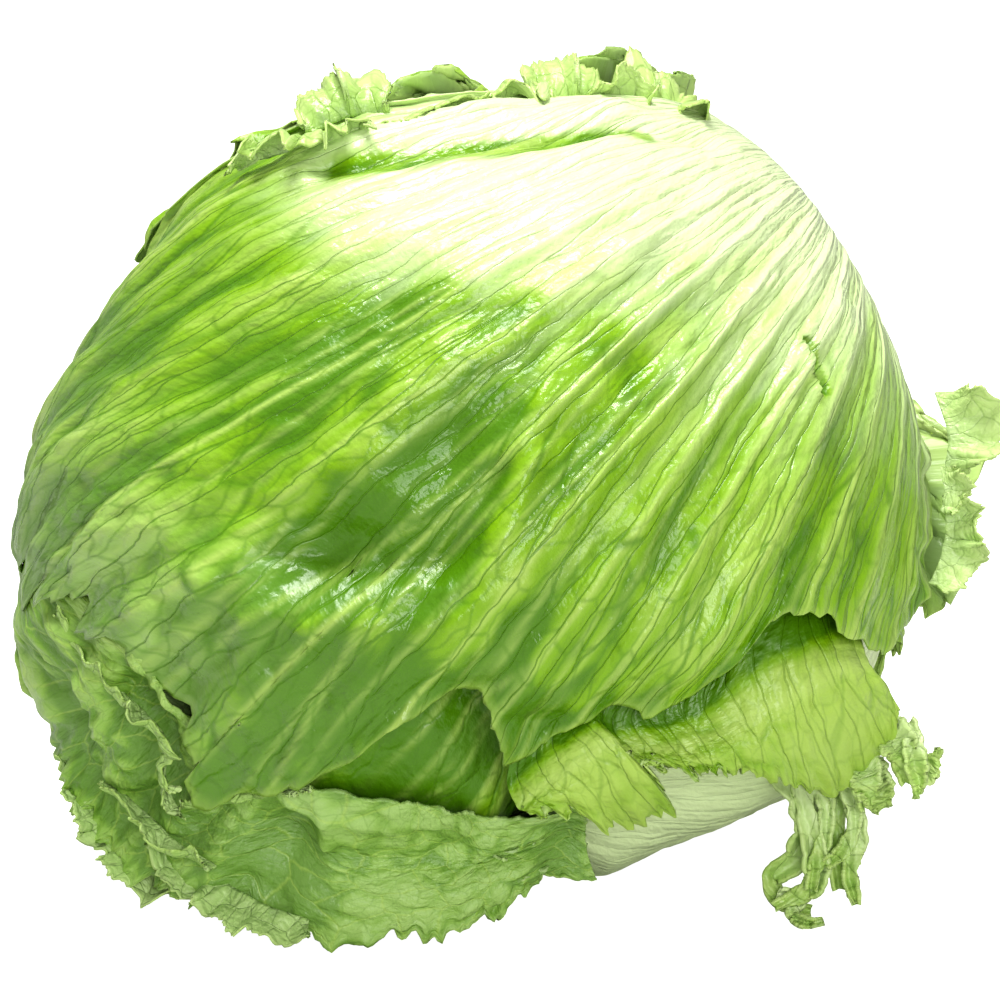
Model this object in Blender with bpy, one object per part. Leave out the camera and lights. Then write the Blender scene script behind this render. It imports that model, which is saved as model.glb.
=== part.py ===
"""Iceberg lettuce: a cut head lying on its side, as loose outer leaves over a tight heart.

The head is described in angles round its stem. THETA runs from the stem (0 degrees) to the round top end
(180), and PHI runs round the stem: 0 faces the front, 90 faces down, -90 faces up, 180 the back. LIFT is
the height in millimetres above the head's plain surface. Every leaf is a sheet over that surface.
"""

import math

import bmesh
import bpy
import numpy as np
from mathutils import Vector

MM = 0.001

HEAD_CENTRE = (-3.5, 2.75, 66.0)
VIEW_TILT = 15.0
OUTLINE_RADII = (80.1, 78.9, 80.1, 73.8, 74.0, 74.9, 82.0, 89.0, 84.2, 73.8, 71.3, 81.0)
HALF_DEPTH = 76.0
MEAN_RADIUS = 80.0
SWELL_HEIGHT = 0.8
STEM_AXIS = (0.717, 0.668, -0.2)

LEAF_THICKNESS = 1.1
SCRAP_THICKNESS = 1.3
LAYER_STEP = 2.7
BASE_ANGLE = 12.5
STEM_LEAN = 16.0
STEM_LEAN_SPREAD = 30.0
STEM_OFFSET = 2.6
HEART_LIFT = -15.8
HEART_STEP = 1.6
HEART_LEAVES = 3

RIB_TURNS = (-40, -31, -25, -18.5, -10.5, -5.5, 0.5, 6, 10.5, 15.3, 20, 26, 33, 41, 48, 56)
PLEAT_HEIGHT = 1.1
OUTER_PLEAT_HEIGHT = 0.6
UNDER_PLEAT_HEIGHT = 0.5
RAGGED_WAVE = 15.0
TABLE_GAP = 0.3

FRONT_GREEN = (0.30, 0.56, 0.10)
INNER_GREEN = (0.20, 0.42, 0.06)
DULL_GREEN = (0.27, 0.44, 0.13)
BRIGHT_GREEN = (0.42, 0.66, 0.16)
BRIGHT_SCRAP_GREEN = (0.40, 0.60, 0.10)
UNDER_GREEN = (0.62, 0.74, 0.38)
UNDER_SCRAP_GREEN = (0.55, 0.68, 0.30)
RIGHT_GREEN = (0.34, 0.60, 0.12)
TOP_GREEN = (0.38, 0.62, 0.12)
BACK_GREEN = (0.34, 0.58, 0.12)
STEM_CREAM = (0.80, 0.74, 0.55)
HEART_GREEN = (0.55, 0.68, 0.30)

tilt = math.radians(VIEW_TILT)
RIGHT = np.array((1.0, 0.0, 0.0))
UP = np.array((0.0, math.sin(tilt), math.cos(tilt)))
TOWARD = np.array((0.0, -math.cos(tilt), math.sin(tilt)))


def unit(vector):
    return vector / np.linalg.norm(vector, axis=-1, keepdims=True)


AXIS = unit(STEM_AXIS[0] * RIGHT + STEM_AXIS[1] * UP + STEM_AXIS[2] * TOWARD)
FRONT = unit(TOWARD - (TOWARD @ AXIS) * AXIS)
SIDE = np.cross(AXIS, FRONT)


def smooth(low, high, value):
    """0 below low, 1 above high and a smooth ramp between; low may be the larger."""
    share = np.clip((np.asarray(value, float) - low) / (high - low), 0.0, 1.0)
    return share * share * (3.0 - 2.0 * share)


def spline_weights(position, count):
    """Catmull-Rom: the four rows that a position between 0 and count - 1 draws on, and their weights."""
    position = np.clip(position, 0.0, count - 1.0)
    low = np.minimum(np.floor(position).astype(int), count - 2)
    t = position - low
    rows = np.clip(np.stack((low - 1, low, low + 1, low + 2), axis=-1), 0, count - 1)
    weights = (
        -0.5 * t + t**2 - 0.5 * t**3,
        1.0 - 2.5 * t**2 + 1.5 * t**3,
        0.5 * t + 2.0 * t**2 - 1.5 * t**3,
        -0.5 * t**2 + 0.5 * t**3,
    )
    return rows, np.stack(weights, axis=-1)


def spline(values, position):
    """A smooth run of values through the rows given, at positions from 0 to len(values) - 1."""
    rows, weights = spline_weights(position, len(values))
    return np.einsum("...a,...a->...", weights, np.asarray(values, float)[rows])


def direction(phi, theta):
    """The way out from the centre at these angles; near the stem it leans away from the front."""
    phi = np.radians(phi)[..., None]
    lean = np.radians(STEM_LEAN) * np.exp(-((np.asarray(theta)[..., None] / STEM_LEAN_SPREAD) ** 2))
    theta = np.radians(theta)[..., None]
    way = np.cos(theta) * AXIS + np.sin(theta) * (np.cos(phi) * FRONT + np.sin(phi) * SIDE)
    level = (way @ SIDE)[..., None] * SIDE
    return level + (way - level) * np.cos(lean) - np.cross(SIDE, way) * np.sin(lean)


def angles(way):
    phi = np.degrees(np.arctan2(way @ SIDE, way @ FRONT))
    return phi, np.degrees(np.arccos(np.clip(way @ AXIS, -1.0, 1.0)))


def head_radius(way):
    """Distance from the head's centre to its plain surface."""
    across = way @ RIGHT
    height = way @ UP
    turn = np.arctan2(height, across) / (2 * math.pi) % 1.0
    ring = np.array(OUTLINE_RADII[-1:] + OUTLINE_RADII + OUTLINE_RADII[:2])
    outline = spline(ring, turn * len(OUTLINE_RADII) + 1.0)
    return 1.0 / np.sqrt((np.hypot(across, height) / outline) ** 2 + (way @ TOWARD / HALF_DEPTH) ** 2)


def place(way, lift):
    """The point at a lift over the plain surface, never below the table."""
    point = np.array(HEAD_CENTRE) + way * (head_radius(way) + lift)[..., None]
    point[..., 2] = np.maximum(point[..., 2], 0.0)
    return point


def fan(theta):
    """How far the ribs of a leaf have spread at each angle from the stem."""
    angle = np.radians(theta)
    return (1.35**6 + (angle**1.25 / np.sin(angle)) ** 6) ** (1 / 6)


def wander(position, seed):
    """A smooth wave without a fixed pitch, between -1 and 1; position counts waves."""
    shift = np.random.default_rng(seed).uniform(0.0, 2 * math.pi, 4)
    total = np.sin(2 * math.pi * position + shift[0])
    total += 0.6 * np.sin(2 * math.pi * 1.63 * position + shift[1])
    total += 0.5 * np.sin(2 * math.pi * 0.41 * position + shift[2])
    total += 0.3 * np.sin(2 * math.pi * 2.71 * position + shift[3])
    return total / 2.0


# Folds of the outer leaves: points (phi, theta), half width in mm and height in mm.
FOLDS = (
    (((0, 96), (8, 106), (7, 115), (0, 121)), 7.0, 2.8),
    (((-4, 100), (0, 108), (-2, 114), (-9, 119)), 8.0, -4.2),
    (((-15, 124), (-6, 119)), 7.0, -1.8),
    (((-19, 131), (-5, 127), (6, 120)), 7.0, 2.0),
    (((38, 121), (36, 115), (35, 107), (40, 98), (43, 91)), 6.0, -2.6),
    (((17, 123), (21, 117)), 4.0, -2.6),
    (((27, 118), (32, 114)), 4.0, -2.6),
    (((-17, 157),), 7.0, -3.6),
    (((37, 154),), 8.0, -4.4),
    (((-3, 149),), 5.0, -1.6),
    (((-30, 143), (-38, 150)), 5.0, 1.8),
    (((22, 45), (24, 65), (29, 82), (34, 95)), 5.0, 1.4),
    (((-28, 92), (-40, 112)), 9.0, -1.8),
    (((-16, 92), (-17, 112)), 6.0, 1.6),
    (((-52, 82), (-45, 74), (-41, 65), (-36, 55), (-30, 45), (-23, 39)), 3.6, -2.4),
    (((-59, 80), (-53, 70), (-49, 60), (-44, 52), (-37, 45)), 5.0, 1.8),
)


def fold_relief(way):
    """The creases, ridges and hollows of the front, as a lift in mm."""
    total = np.zeros(way.shape[:-1])
    for points, half_width, height in FOLDS:
        corners = direction(*np.array(points, float).T)
        nearest = np.full(way.shape[:-1], np.inf)
        for start, end in zip(corners, corners[1:] if len(corners) > 1 else corners):
            run = end - start
            share = np.clip(((way - start) @ run) / max(run @ run, 1e-9), 0.0, 1.0)
            gap = np.linalg.norm(way - start - share[..., None] * run, axis=-1)
            nearest = np.minimum(nearest, gap)
        total += height * np.exp(-((MEAN_RADIUS * nearest / half_width) ** 2))
    return total


def soft_relief(way):
    """Broad swells that every layer of the head shares."""
    x, y, z = np.moveaxis(way, -1, 0)
    total = np.sin(4.1 * x + 2.3 * y + 0.5) * np.sin(3.7 * z - 1.9 * y + 1.2)
    total += 0.7 * np.sin(5.3 * y - 3.1 * z + 2.0) * np.sin(4.6 * x + 1.1 * z)
    return SWELL_HEIGHT * total


def pleats(phi, theta, middle, height):
    """Ridges along the ribs of the leaf whose midrib is at phi = middle."""
    turn = (phi - middle) / fan(theta)
    wave = np.cos(2 * math.pi * np.interp(turn, RIB_TURNS, np.arange(len(RIB_TURNS))))
    return height * wave * smooth(14, 45, theta) * smooth(165, 140, theta)


def sheet_grid(columns, rows, crowd=1.0):
    """Grid positions s (across) and t (stem to rim); crowd over 1 puts more rows near the rim."""
    s, t = np.meshgrid(np.linspace(0, 1, columns + 1), np.linspace(0, 1, rows + 1), indexing="ij")
    return s, 1.0 - (1.0 - t) ** crowd


def fan_leaf(middle, rim, s, t, ragged, seed, base=BASE_ANGLE):
    """Angles of a leaf whose rays fan out from the stem to its rim, which is ragged by some degrees."""
    rim = np.array(rim, float)
    corners = direction(*rim.T)
    reach = np.concatenate(((0.0,), np.cumsum(np.linalg.norm(np.diff(corners, axis=0), axis=1))))
    along = np.interp(s, reach / reach[-1], np.arange(len(rim)))
    turns = (rim[:, 0] - middle) / fan(rim[:, 1])
    turn = np.interp(along, np.arange(len(rim)), turns)
    end = np.interp(along, np.arange(len(rim)), rim[:, 1])
    end = end + ragged * wander(s * reach[-1] * MEAN_RADIUS / RAGGED_WAVE, seed)
    theta = base + (end - base) * t
    return middle + turn * fan(theta), theta


def rim_share(s, t, depth):
    """1 at the free edges of a fanned leaf and 0 further in than depth, a share of its size."""
    inward = np.minimum(1.0 - t, np.minimum(s, 1.0 - s) * 1.6)
    return smooth(depth, 0.0, inward) * smooth(0.15, 0.45, t)


def lines_leaf(lines, s, t):
    """Ways and lifts of a leaf given by lines of points (phi, theta, lift) from the stem to the tip."""
    points = np.array(lines, float)
    ways = direction(points[..., 0], points[..., 1])
    values = np.concatenate((ways, points[..., 2:]), axis=-1)
    lines_used, line_weights = spline_weights(s * (points.shape[0] - 1), points.shape[0])
    marks_used, mark_weights = spline_weights(t * (points.shape[1] - 1), points.shape[1])
    found = values[lines_used[..., :, None], marks_used[..., None, :]]
    found = np.einsum("...a,...b,...abc->...c", line_weights, mark_weights, found)
    return unit(found[..., :3]), found[..., 3]


def make_material(name, colour, roughness):
    material = bpy.data.materials.new(name)
    material.use_nodes = True
    shader = material.node_tree.nodes["Principled BSDF"]
    shader.inputs["Base Color"].default_value = (*colour, 1.0)
    shader.inputs["Roughness"].default_value = roughness
    shader.inputs["Metallic"].default_value = 0.0
    material.diffuse_color = (*colour, 1.0)
    return material


def add_object(name, mesh, material):
    mesh.materials.append(material)
    mesh.shade_smooth()
    piece = bpy.data.objects.new(name, mesh)
    bpy.context.scene.collection.objects.link(piece)
    return piece


def grid_mesh(name, points):
    """One mesh of a grid of points, each cell split into two triangles along its shorter diagonal."""
    columns, rows = points.shape[:2]
    faces = []
    for i in range(columns - 1):
        for j in range(rows - 1):
            a = i * rows + j
            b, c, d = a + 1, a + rows, a + rows + 1
            rising = np.linalg.norm(points[i + 1, j + 1] - points[i, j])
            falling = np.linalg.norm(points[i + 1, j] - points[i, j + 1])
            if falling < rising:
                faces += [(a, c, b), (b, c, d)]
            else:
                faces += [(a, c, d), (a, d, b)]
    mesh = bpy.data.meshes.new(name)
    mesh.from_pydata((points.reshape(-1, 3) * MM).tolist(), [], faces)
    return mesh


def face_outwards(mesh):
    """Turns the sheet's faces over if they look towards the head's centre."""
    centre = Vector(HEAD_CENTRE) * MM
    facing = sum((face.center - centre).dot(face.normal) * face.area for face in mesh.polygons)
    if facing < 0:
        mesh.flip_normals()


def add_leaf(name, points, colour, roughness):
    """A leaf: a sheet of points, thickened towards the heart."""
    mesh = grid_mesh(name, points)
    face_outwards(mesh)
    leaf = add_object(name, mesh, make_material(name, colour, roughness))
    solidify = leaf.modifiers.new("Thickness", "SOLIDIFY")
    solidify.thickness = LEAF_THICKNESS * MM
    solidify.offset = -1.0
    return leaf


def shared_relief(way):
    return soft_relief(way) + fold_relief(way)


FRONT_GRID = (46, 20, 1.1)
FRONT_MIDDLE = -3.0
FRONT_NARROWING = 0.24
FRONT_RAGGED = 0.9
PUCKER_HEIGHT = 1.2
PUCKER_WAVE = 1.6
RIM_LIFT = 0.8
FRONT_RIM = (
    (-70, 86), (-84, 100), (-96, 117), (-100, 132), (-97, 144), (-83, 150), (-68, 148), (-58, 148),
    (-52, 147), (-44, 149), (-28, 149), (-16, 149), (-6, 149), (0, 151), (2, 156), (11, 157),
    (14.5, 149), (18, 140), (17, 128), (18, 121), (21, 117), (28, 119.5), (34, 121), (35.6, 117.6),
    (34.4, 111.5), (35.0, 105.8), (39.2, 101), (40.6, 96), (39.6, 91), (38.0, 86.5), (37.0, 82.4),
    (39.6, 79), (48, 75.8), (56, 73), (62, 68), (68, 58), (68, 47),
)


def front_leaf():
    """The large leaf that covers the front, its ribs fanning out from the stem."""
    s, t = sheet_grid(*FRONT_GRID)
    phi, theta = fan_leaf(FRONT_MIDDLE, FRONT_RIM, s, t, FRONT_RAGGED, seed=3)
    turn = (phi - FRONT_MIDDLE) / fan(theta)
    narrowing = FRONT_NARROWING * smooth(46, 30, theta) * smooth(-15, -38, turn)
    phi = FRONT_MIDDLE + (phi - FRONT_MIDDLE) * (1.0 - narrowing)
    way = direction(phi, theta)
    lift = shared_relief(way) + pleats(phi, theta, FRONT_MIDDLE, PLEAT_HEIGHT)
    pucker = smooth(0.8, 0.88, s) * rim_share(s, t, 0.16)
    lift = lift + pucker * (PUCKER_HEIGHT + PUCKER_WAVE * wander(t * 6 + s * 9, seed=5))
    lift = lift + RIM_LIFT * rim_share(s, t, 0.06)
    add_leaf("front_leaf", place(way, lift), FRONT_GREEN, 0.3)


INNER_GRID = (15, 11)
INNER_MIDDLE = 8.0
INNER_RAGGED = 0.5
INNER_DEPTH = -12.2
INNER_RISE = 6.6
INNER_RIM = (
    (-25, 112), (-22, 126), (0, 139), (9, 148), (19, 152), (31, 153), (42, 148),
    (50, 138), (54, 128), (51, 119), (44, 110), (35, 98), (28, 80),
)


def inner_leaf():
    """The next leaf in, seen in shade under the lower edge of the front leaf."""
    s, t = sheet_grid(*INNER_GRID)
    phi, theta = fan_leaf(INNER_MIDDLE, INNER_RIM, s, t, INNER_RAGGED, seed=11)
    way = direction(phi, theta)
    seen = smooth(121, 130, theta)
    lift = INNER_DEPTH + seen * (INNER_RISE + shared_relief(way))
    add_leaf("inner_leaf", place(way, lift), INNER_GREEN, 0.4)


WRAP_GRID = (9, 42)
WRAP_CROWD = 0.38
WRAP_FLARE = 0.6
WRAP_WAVE = 1.1
WRAP_TEETH = 3.2

# Lines of the wrapping leaf, from the stem round the top end to the front: upper edge, middle, lower edge.
WRAP_LINES = (
    (
        (-50, 14, -5.8), (-52, 55, -8), (-58, 95, -8), (-72, 126, -6.5), (-76, 142, -4.6), (-34, 147, -4.2),
        (-19, 149, -4), (-7, 151, -4), (7, 152, -4), (15, 147, -3.8), (31, 137, -2.6), (39, 132, -2.6),
        (47, 128, -2.6), (52, 116, -2.8),
    ),
    (
        (-85, 14, -5.8), (-86, 55, -5.8), (-88, 92, -5.8), (-92, 128, -4), (-80, 148, -2.8),
        (-37, 153, -2.6), (-22, 156, -2.6), (-7, 159, -2), (13, 160, -2), (25, 155, -1.8),
        (43, 144, -1.5), (50, 135, -1.5), (54, 128, -1.5), (58, 117, -2.2),
    ),
    (
        (-125, 14, -5.8), (-124, 55, -5.8), (-122, 92, -5.8), (-116, 130, -4.2), (-92, 152, -2.4),
        (-50, 160, -2), (-34, 165, -1.6), (-7, 168, 0.5), (19, 164, 3.2), (31, 157, 4), (47, 146, 4.5),
        (53, 135, 4.5), (55, 127, 3.3), (61, 118, 1.6),
    ),
    (
        (-172, 14, -5.8), (-170, 55, -5.8), (-163, 92, -5.8), (-140, 132, -5), (-112, 151, -1.5),
        (-103, 165, -2), (-69, 172, 0.5), (-7, 175, 5), (31, 168, 7.8), (42, 160, 9), (55, 148, 10),
        (59, 136, 9.4), (59, 127, 6.6), (64, 118, 4.6),
    ),
)


def wrap_leaf():
    """The dull leaf that comes over the top end and along the bottom, with a toothed lower edge."""
    s, t = sheet_grid(*WRAP_GRID)
    t = 1.0 - (1.0 - t) * (1.0 - WRAP_CROWD * t)
    way, lift = lines_leaf(WRAP_LINES, s, t)
    phi, theta = angles(way)
    lift = lift + soft_relief(way) + fold_relief(way) * smooth(120, 136, theta)
    edge = smooth(0.75, 1.0, s) * smooth(0.3, 0.4, t) * smooth(1.0, 0.92, t)
    lift = lift + edge * (WRAP_FLARE + WRAP_WAVE * wander(t * 16, seed=21))
    teeth = edge * WRAP_TEETH * wander(t * 22, seed=22)
    points = place(way, lift)
    points = points + unit(np.gradient(points, axis=0)) * teeth[..., None]
    points[..., 2] = np.maximum(points[..., 2], TABLE_GAP / 2)
    add_leaf("wrap_leaf", points, DULL_GREEN, 0.45)


# Lines of the side leaf, from the stem under the front leaf to its foot, over the crest of the fold and out
# to the torn rim. Each line starts with PHI at its first two points, which lie deep under the front leaf.
SIDE_GRID = (26, 15)
SIDE_WAVE = 0.9
SIDE_TEETH = 2.0
SIDE_HIDDEN_THETA = (14, 49)
SIDE_HIDDEN_LIFT = -8.0
SIDE_LINES = (
    (14, 17, (20, 80, -8.4), (26, 107, -8.6), (37, 121.5, -5),
     (41.5, 122.8, 0), (42.3, 121.6, 1.8), (43.6, 120.6, 2.3)),
    (17, 20, (23, 80, -8.4), (28, 104, -8.6), (36, 117, -5),
     (39.6, 117.8, 0), (42, 117.2, 2.2), (45.8, 116.6, 2.8)),
    (19, 22, (25, 78, -8.4), (30, 100, -8.6), (35.3, 112, -5),
     (38.3, 112.4, 0.3), (43.5, 112.3, 3.3), (53.3, 112.4, 3.5)),
    (21, 24, (27, 76, -8.4), (32, 96, -8.6), (34.8, 107, -5),
     (37.9, 107.4, 0.7), (43, 106.6, 4), (54.2, 105.7, 4.2)),
    (23, 26, (29, 75, -8.4), (34, 94, -8.6), (38, 106, -5),
     (41.2, 106.6, 0.2), (42.6, 106.2, 2.6), (44.2, 105.6, 3.4)),
    (25, 28, (31, 74, -8.4), (36, 91, -8.6), (39.8, 102.2, -5),
     (43.3, 103.4, 0.3), (44.6, 103, 3.2), (46.4, 102.4, 4)),
    (27, 30, (33, 72, -8.4), (38, 88, -8.6), (42.2, 98, -5),
     (45.4, 99.3, 0.6), (47, 99.4, 3.8), (49.6, 99.5, 4.8)),
    (30, 33, (36, 70, -8.2), (40, 83, -8.2), (43, 93, -4.8),
     (46, 94.8, 1), (48, 95.4, 4.6), (51.6, 96.1, 5.5)),
    (33, 37, (39, 68, -8), (40.5, 78, -7.2), (42, 86.6, -4.6),
     (46.2, 89.5, 1.6), (50.5, 91.2, 5.4), (58.1, 92.2, 6.5)),
    (36, 40, (42, 65, -8), (42.5, 74, -7), (43.8, 79.6, -3.6),
     (47.2, 84.2, 2.2), (53.6, 86.6, 6.2), (65.8, 87.5, 8)),
    (42, 46, (48, 60, -7.6), (48, 69, -6.4), (48, 74.6, -3.4),
     (50, 79, 2.4), (56, 80.8, 6.2), (65.5, 81.6, 8)),
    (50, 54, (56, 56, -7.4), (55, 65, -6), (54.2, 70.6, -3.4),
     (54.4, 75.2, 2.2), (57.5, 76, 5.6), (61.5, 76.6, 8)),
)


def band(centreline, widths, thickness, name):
    """A closed flat strip along points (right, up, toward) in the picture's axes."""
    points = np.array(centreline, float)
    places = np.array(HEAD_CENTRE) + points[:, :1] * RIGHT + points[:, 1:2] * UP + points[:, 2:] * TOWARD
    run = unit(np.gradient(places, axis=0))
    flat = unit(np.cross(run, TOWARD))
    deep = np.cross(run, flat) * thickness / 2
    half = flat * (np.array(widths, float) / 2)[:, None]
    corners = (places + half + deep, places - half + deep, places - half - deep, places + half - deep)
    rings = np.stack(corners, axis=1)
    mesh = bmesh.new()
    verts = [[mesh.verts.new(Vector(corner) * MM) for corner in ring] for ring in rings]
    for low, high in zip(verts, verts[1:]):
        for k in range(4):
            mesh.faces.new((low[k], low[(k + 1) % 4], high[(k + 1) % 4], high[k]))
    mesh.faces.new(verts[0][::-1])
    mesh.faces.new(verts[-1])
    bmesh.ops.triangulate(mesh, faces=mesh.faces)
    bmesh.ops.recalc_face_normals(mesh, faces=mesh.faces)
    data = bpy.data.meshes.new(name)
    mesh.to_mesh(data)
    mesh.free()
    return data


# Torn scraps of leaf: the centre line as points (right, up, toward) and the width at each point.
SIDE_SCRAPS = (
    (((68.0, -37.0, 32), (71.0, -40.5, 35), (72.5, -44, 35), (73.2, -48.5, 34)), (7.0, 6.0, 5.0, 1.2)),
    (((64.5, -43.0, 30), (66, -47.5, 34), (66.5, -53, 31)), (7.0, 5.5, 1.5)),
)
UNDER_SCRAPS = (
    (((51, -41, 21), (55.5, -49.5, 25.5), (57.8, -56, 25.5), (55.2, -62, 24.5), (50.5, -65.5, 24),
      (52.5, -69.5, 24), (57.5, -71, 24.5)), (7.5, 7.0, 6.0, 4.6, 3.2, 2.6, 1.6)),
    (((55.5, -39, 20), (60.5, -47.5, 24.5), (61.5, -56, 25), (62.5, -67.5, 24.5)), (6.0, 5.0, 3.4, 1.8)),
)


def join_scraps(leaf, scraps, colour):
    """Fuses torn scraps into the leaf that they hang from."""
    for index, (centreline, widths) in enumerate(scraps):
        name = f"{leaf.name}_scrap_{index + 1}"
        strip = band(centreline, widths, SCRAP_THICKNESS, name)
        scrap = add_object(name, strip, make_material(name, colour, 0.4))
        scrap.hide_render = True
        scrap.display_type = "WIRE"
        join = leaf.modifiers.new(f"Join {name}", "BOOLEAN")
        join.operation = "UNION"
        join.object = scrap


def side_leaf():
    """The bright leaf at the lower right, folded out over a crest, with torn scraps on its rim."""
    s, t = sheet_grid(*SIDE_GRID)
    lines = []
    for line in SIDE_LINES:
        hidden = [(phi, theta, SIDE_HIDDEN_LIFT) for phi, theta in zip(line[:2], SIDE_HIDDEN_THETA)]
        lines.append((*hidden, *line[2:]))
    way, lift = lines_leaf(lines, s, t)
    rim = smooth(0.86, 1.0, t)
    points = place(way, lift + rim * SIDE_WAVE * wander(s * 9, seed=31))
    teeth = rim * SIDE_TEETH * wander(s * 15, seed=32)
    points = points + unit(np.gradient(points, axis=1)) * teeth[..., None]
    points[..., 2] = np.maximum(points[..., 2], TABLE_GAP)
    leaf = add_leaf("side_leaf", points, BRIGHT_GREEN, 0.35)
    join_scraps(leaf, SIDE_SCRAPS, BRIGHT_SCRAP_GREEN)


UNDER_GRID = (18, 14)
UNDER_RAGGED = 0.4
UNDER_RELIEF = 0.6
UNDER_RIM = (
    (62, 66), (58, 76), (53.5, 84), (51, 92), (50, 99), (46, 108), (50, 118), (58, 126), (66, 136),
    (78, 146), (108, 160), (150, 165), (176, 156), (186, 134), (185, 110),
)
UNDER_MIDDLE = 118.0
UNDER_SWELL = 5.2
FLAT_ANGLE = 24.0
FLAT_BLEND = 16.0


def under_leaf():
    """The pale leaf that the head lies on."""
    s, t = sheet_grid(*UNDER_GRID)
    phi, theta = fan_leaf(UNDER_MIDDLE, UNDER_RIM, s, t, UNDER_RAGGED, seed=41)
    way = direction(phi, theta)
    from_table = np.degrees(np.arccos(-way[..., 2]))
    relief = UNDER_RELIEF * soft_relief(way) + pleats(phi, theta, UNDER_MIDDLE, UNDER_PLEAT_HEIGHT)
    lift = -2 * LAYER_STEP + relief * smooth(FLAT_ANGLE, FLAT_ANGLE + FLAT_BLEND, from_table)
    swell = smooth(64, 79, phi) * smooth(110, 98, phi) * smooth(66, 84, theta) * smooth(122, 114, theta)
    lift = lift + UNDER_SWELL * swell
    leaf = add_leaf("under_leaf", place(way, lift), UNDER_GREEN, 0.35)
    join_scraps(leaf, UNDER_SCRAPS, UNDER_SCRAP_GREEN)


OUTER_CROWD = 1.25
OUTER_RAGGED = 2.0
LOBE_LENGTH = 0.14


def outer_leaf(name, middle, rim, columns, rows, seed, curl, lobes, colour):
    """A fanned outer leaf with a waved and ragged edge; lobes are places where it curls further out."""
    s, t = sheet_grid(columns, rows, OUTER_CROWD)
    s = s**OUTER_CROWD
    phi, theta = fan_leaf(middle, rim, s, t, OUTER_RAGGED, seed)
    way = direction(phi, theta)
    edge = rim_share(s, t, 0.22)
    wave = wander(s * 7 + t * 3, seed + 1)
    lift = -LAYER_STEP + soft_relief(way) + pleats(phi, theta, middle, OUTER_PLEAT_HEIGHT)
    lift = lift + edge * (curl + 0.75 * curl * wave)
    for across, up, width, height in lobes:
        gap = np.hypot((s - across) / width, (t - up) / LOBE_LENGTH)
        lift = lift + height * np.exp(-(gap**2)) * smooth(0.0, 0.3, edge)
    add_leaf(name, place(way, lift), colour, 0.35)


# Rims of the outer leaves, and their lobes: places (across, up) as shares of the leaf, width and height.
RIGHT_RIM = (
    (73, 33), (75, 45), (77, 55), (86, 60), (98, 64), (112, 73), (126, 86), (140, 90), (150, 80),
)
RIGHT_LOBES = ((0.07, 1.0, 0.055, 13.5), (0.19, 1.0, 0.05, 8.5))
TOP_RIM = (
    (-57, 26), (-58, 45), (-62, 58), (-64, 70), (-72, 82), (-84, 97), (-97, 107), (-112, 110),
    (-125, 104), (-136, 90), (-140, 74),
)
TOP_LOBES = ((0.0, 0.9, 0.05, 5.0), (0.08, 1.0, 0.05, 5.0), (0.24, 1.0, 0.05, 3.5))
BACK_RIM = (
    (157, 72), (154, 94), (151, 110), (152, 124), (162, 136), (176, 143), (200, 141), (222, 128),
    (227, 112), (219, 96), (214, 76),
)

STEM_PROFILE = (
    (0.0, -13.6), (9.5, -13.6), (11.0, -12.4), (12.5, -7.0), (14.4, -2.0), (15.0, 0.2),
    (14.6, 1.4), (13.2, 2.0), (0.0, 2.0),
)
STEM_SIDES = 20
STEM_RIPPLE = 0.03


def stem():
    """The cut butt of the stem, turned about its own axis, with a plain cut face."""
    turned = bmesh.new()
    middle = direction(np.array(0.0), np.array(STEM_OFFSET))
    aside = [Vector(np.cross(SIDE, middle)), Vector(SIDE)]
    rings = []
    for radius, lift in STEM_PROFILE:
        along = Vector(np.array(HEAD_CENTRE) + middle * (head_radius(middle) + lift))
        if radius == 0.0:
            rings.append([turned.verts.new(along * MM)])
            continue
        ring = []
        for k in range(STEM_SIDES):
            turn = 2 * math.pi * k / STEM_SIDES
            reach = radius * (1.0 + STEM_RIPPLE * math.cos(3 * turn + 0.6))
            corner = along + aside[0] * (reach * math.cos(turn)) + aside[1] * (reach * math.sin(turn))
            ring.append(turned.verts.new(corner * MM))
        rings.append(ring)
    for low, high in zip(rings, rings[1:]):
        for k in range(STEM_SIDES):
            n = (k + 1) % STEM_SIDES
            if len(low) == 1:
                turned.faces.new((low[0], high[n], high[k]))
            elif len(high) == 1:
                turned.faces.new((low[k], low[n], high[0]))
            else:
                turned.faces.new((low[k], low[n], high[n], high[k]))
    bmesh.ops.recalc_face_normals(turned, faces=turned.faces)
    mesh = bpy.data.meshes.new("stem")
    turned.to_mesh(mesh)
    turned.free()
    add_object("stem", mesh, make_material("stem", STEM_CREAM, 0.6))


HEART_GRID = (26, 14)
HEART_RELIEF = 0.6
LAP_SLANT = 0.6


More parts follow.
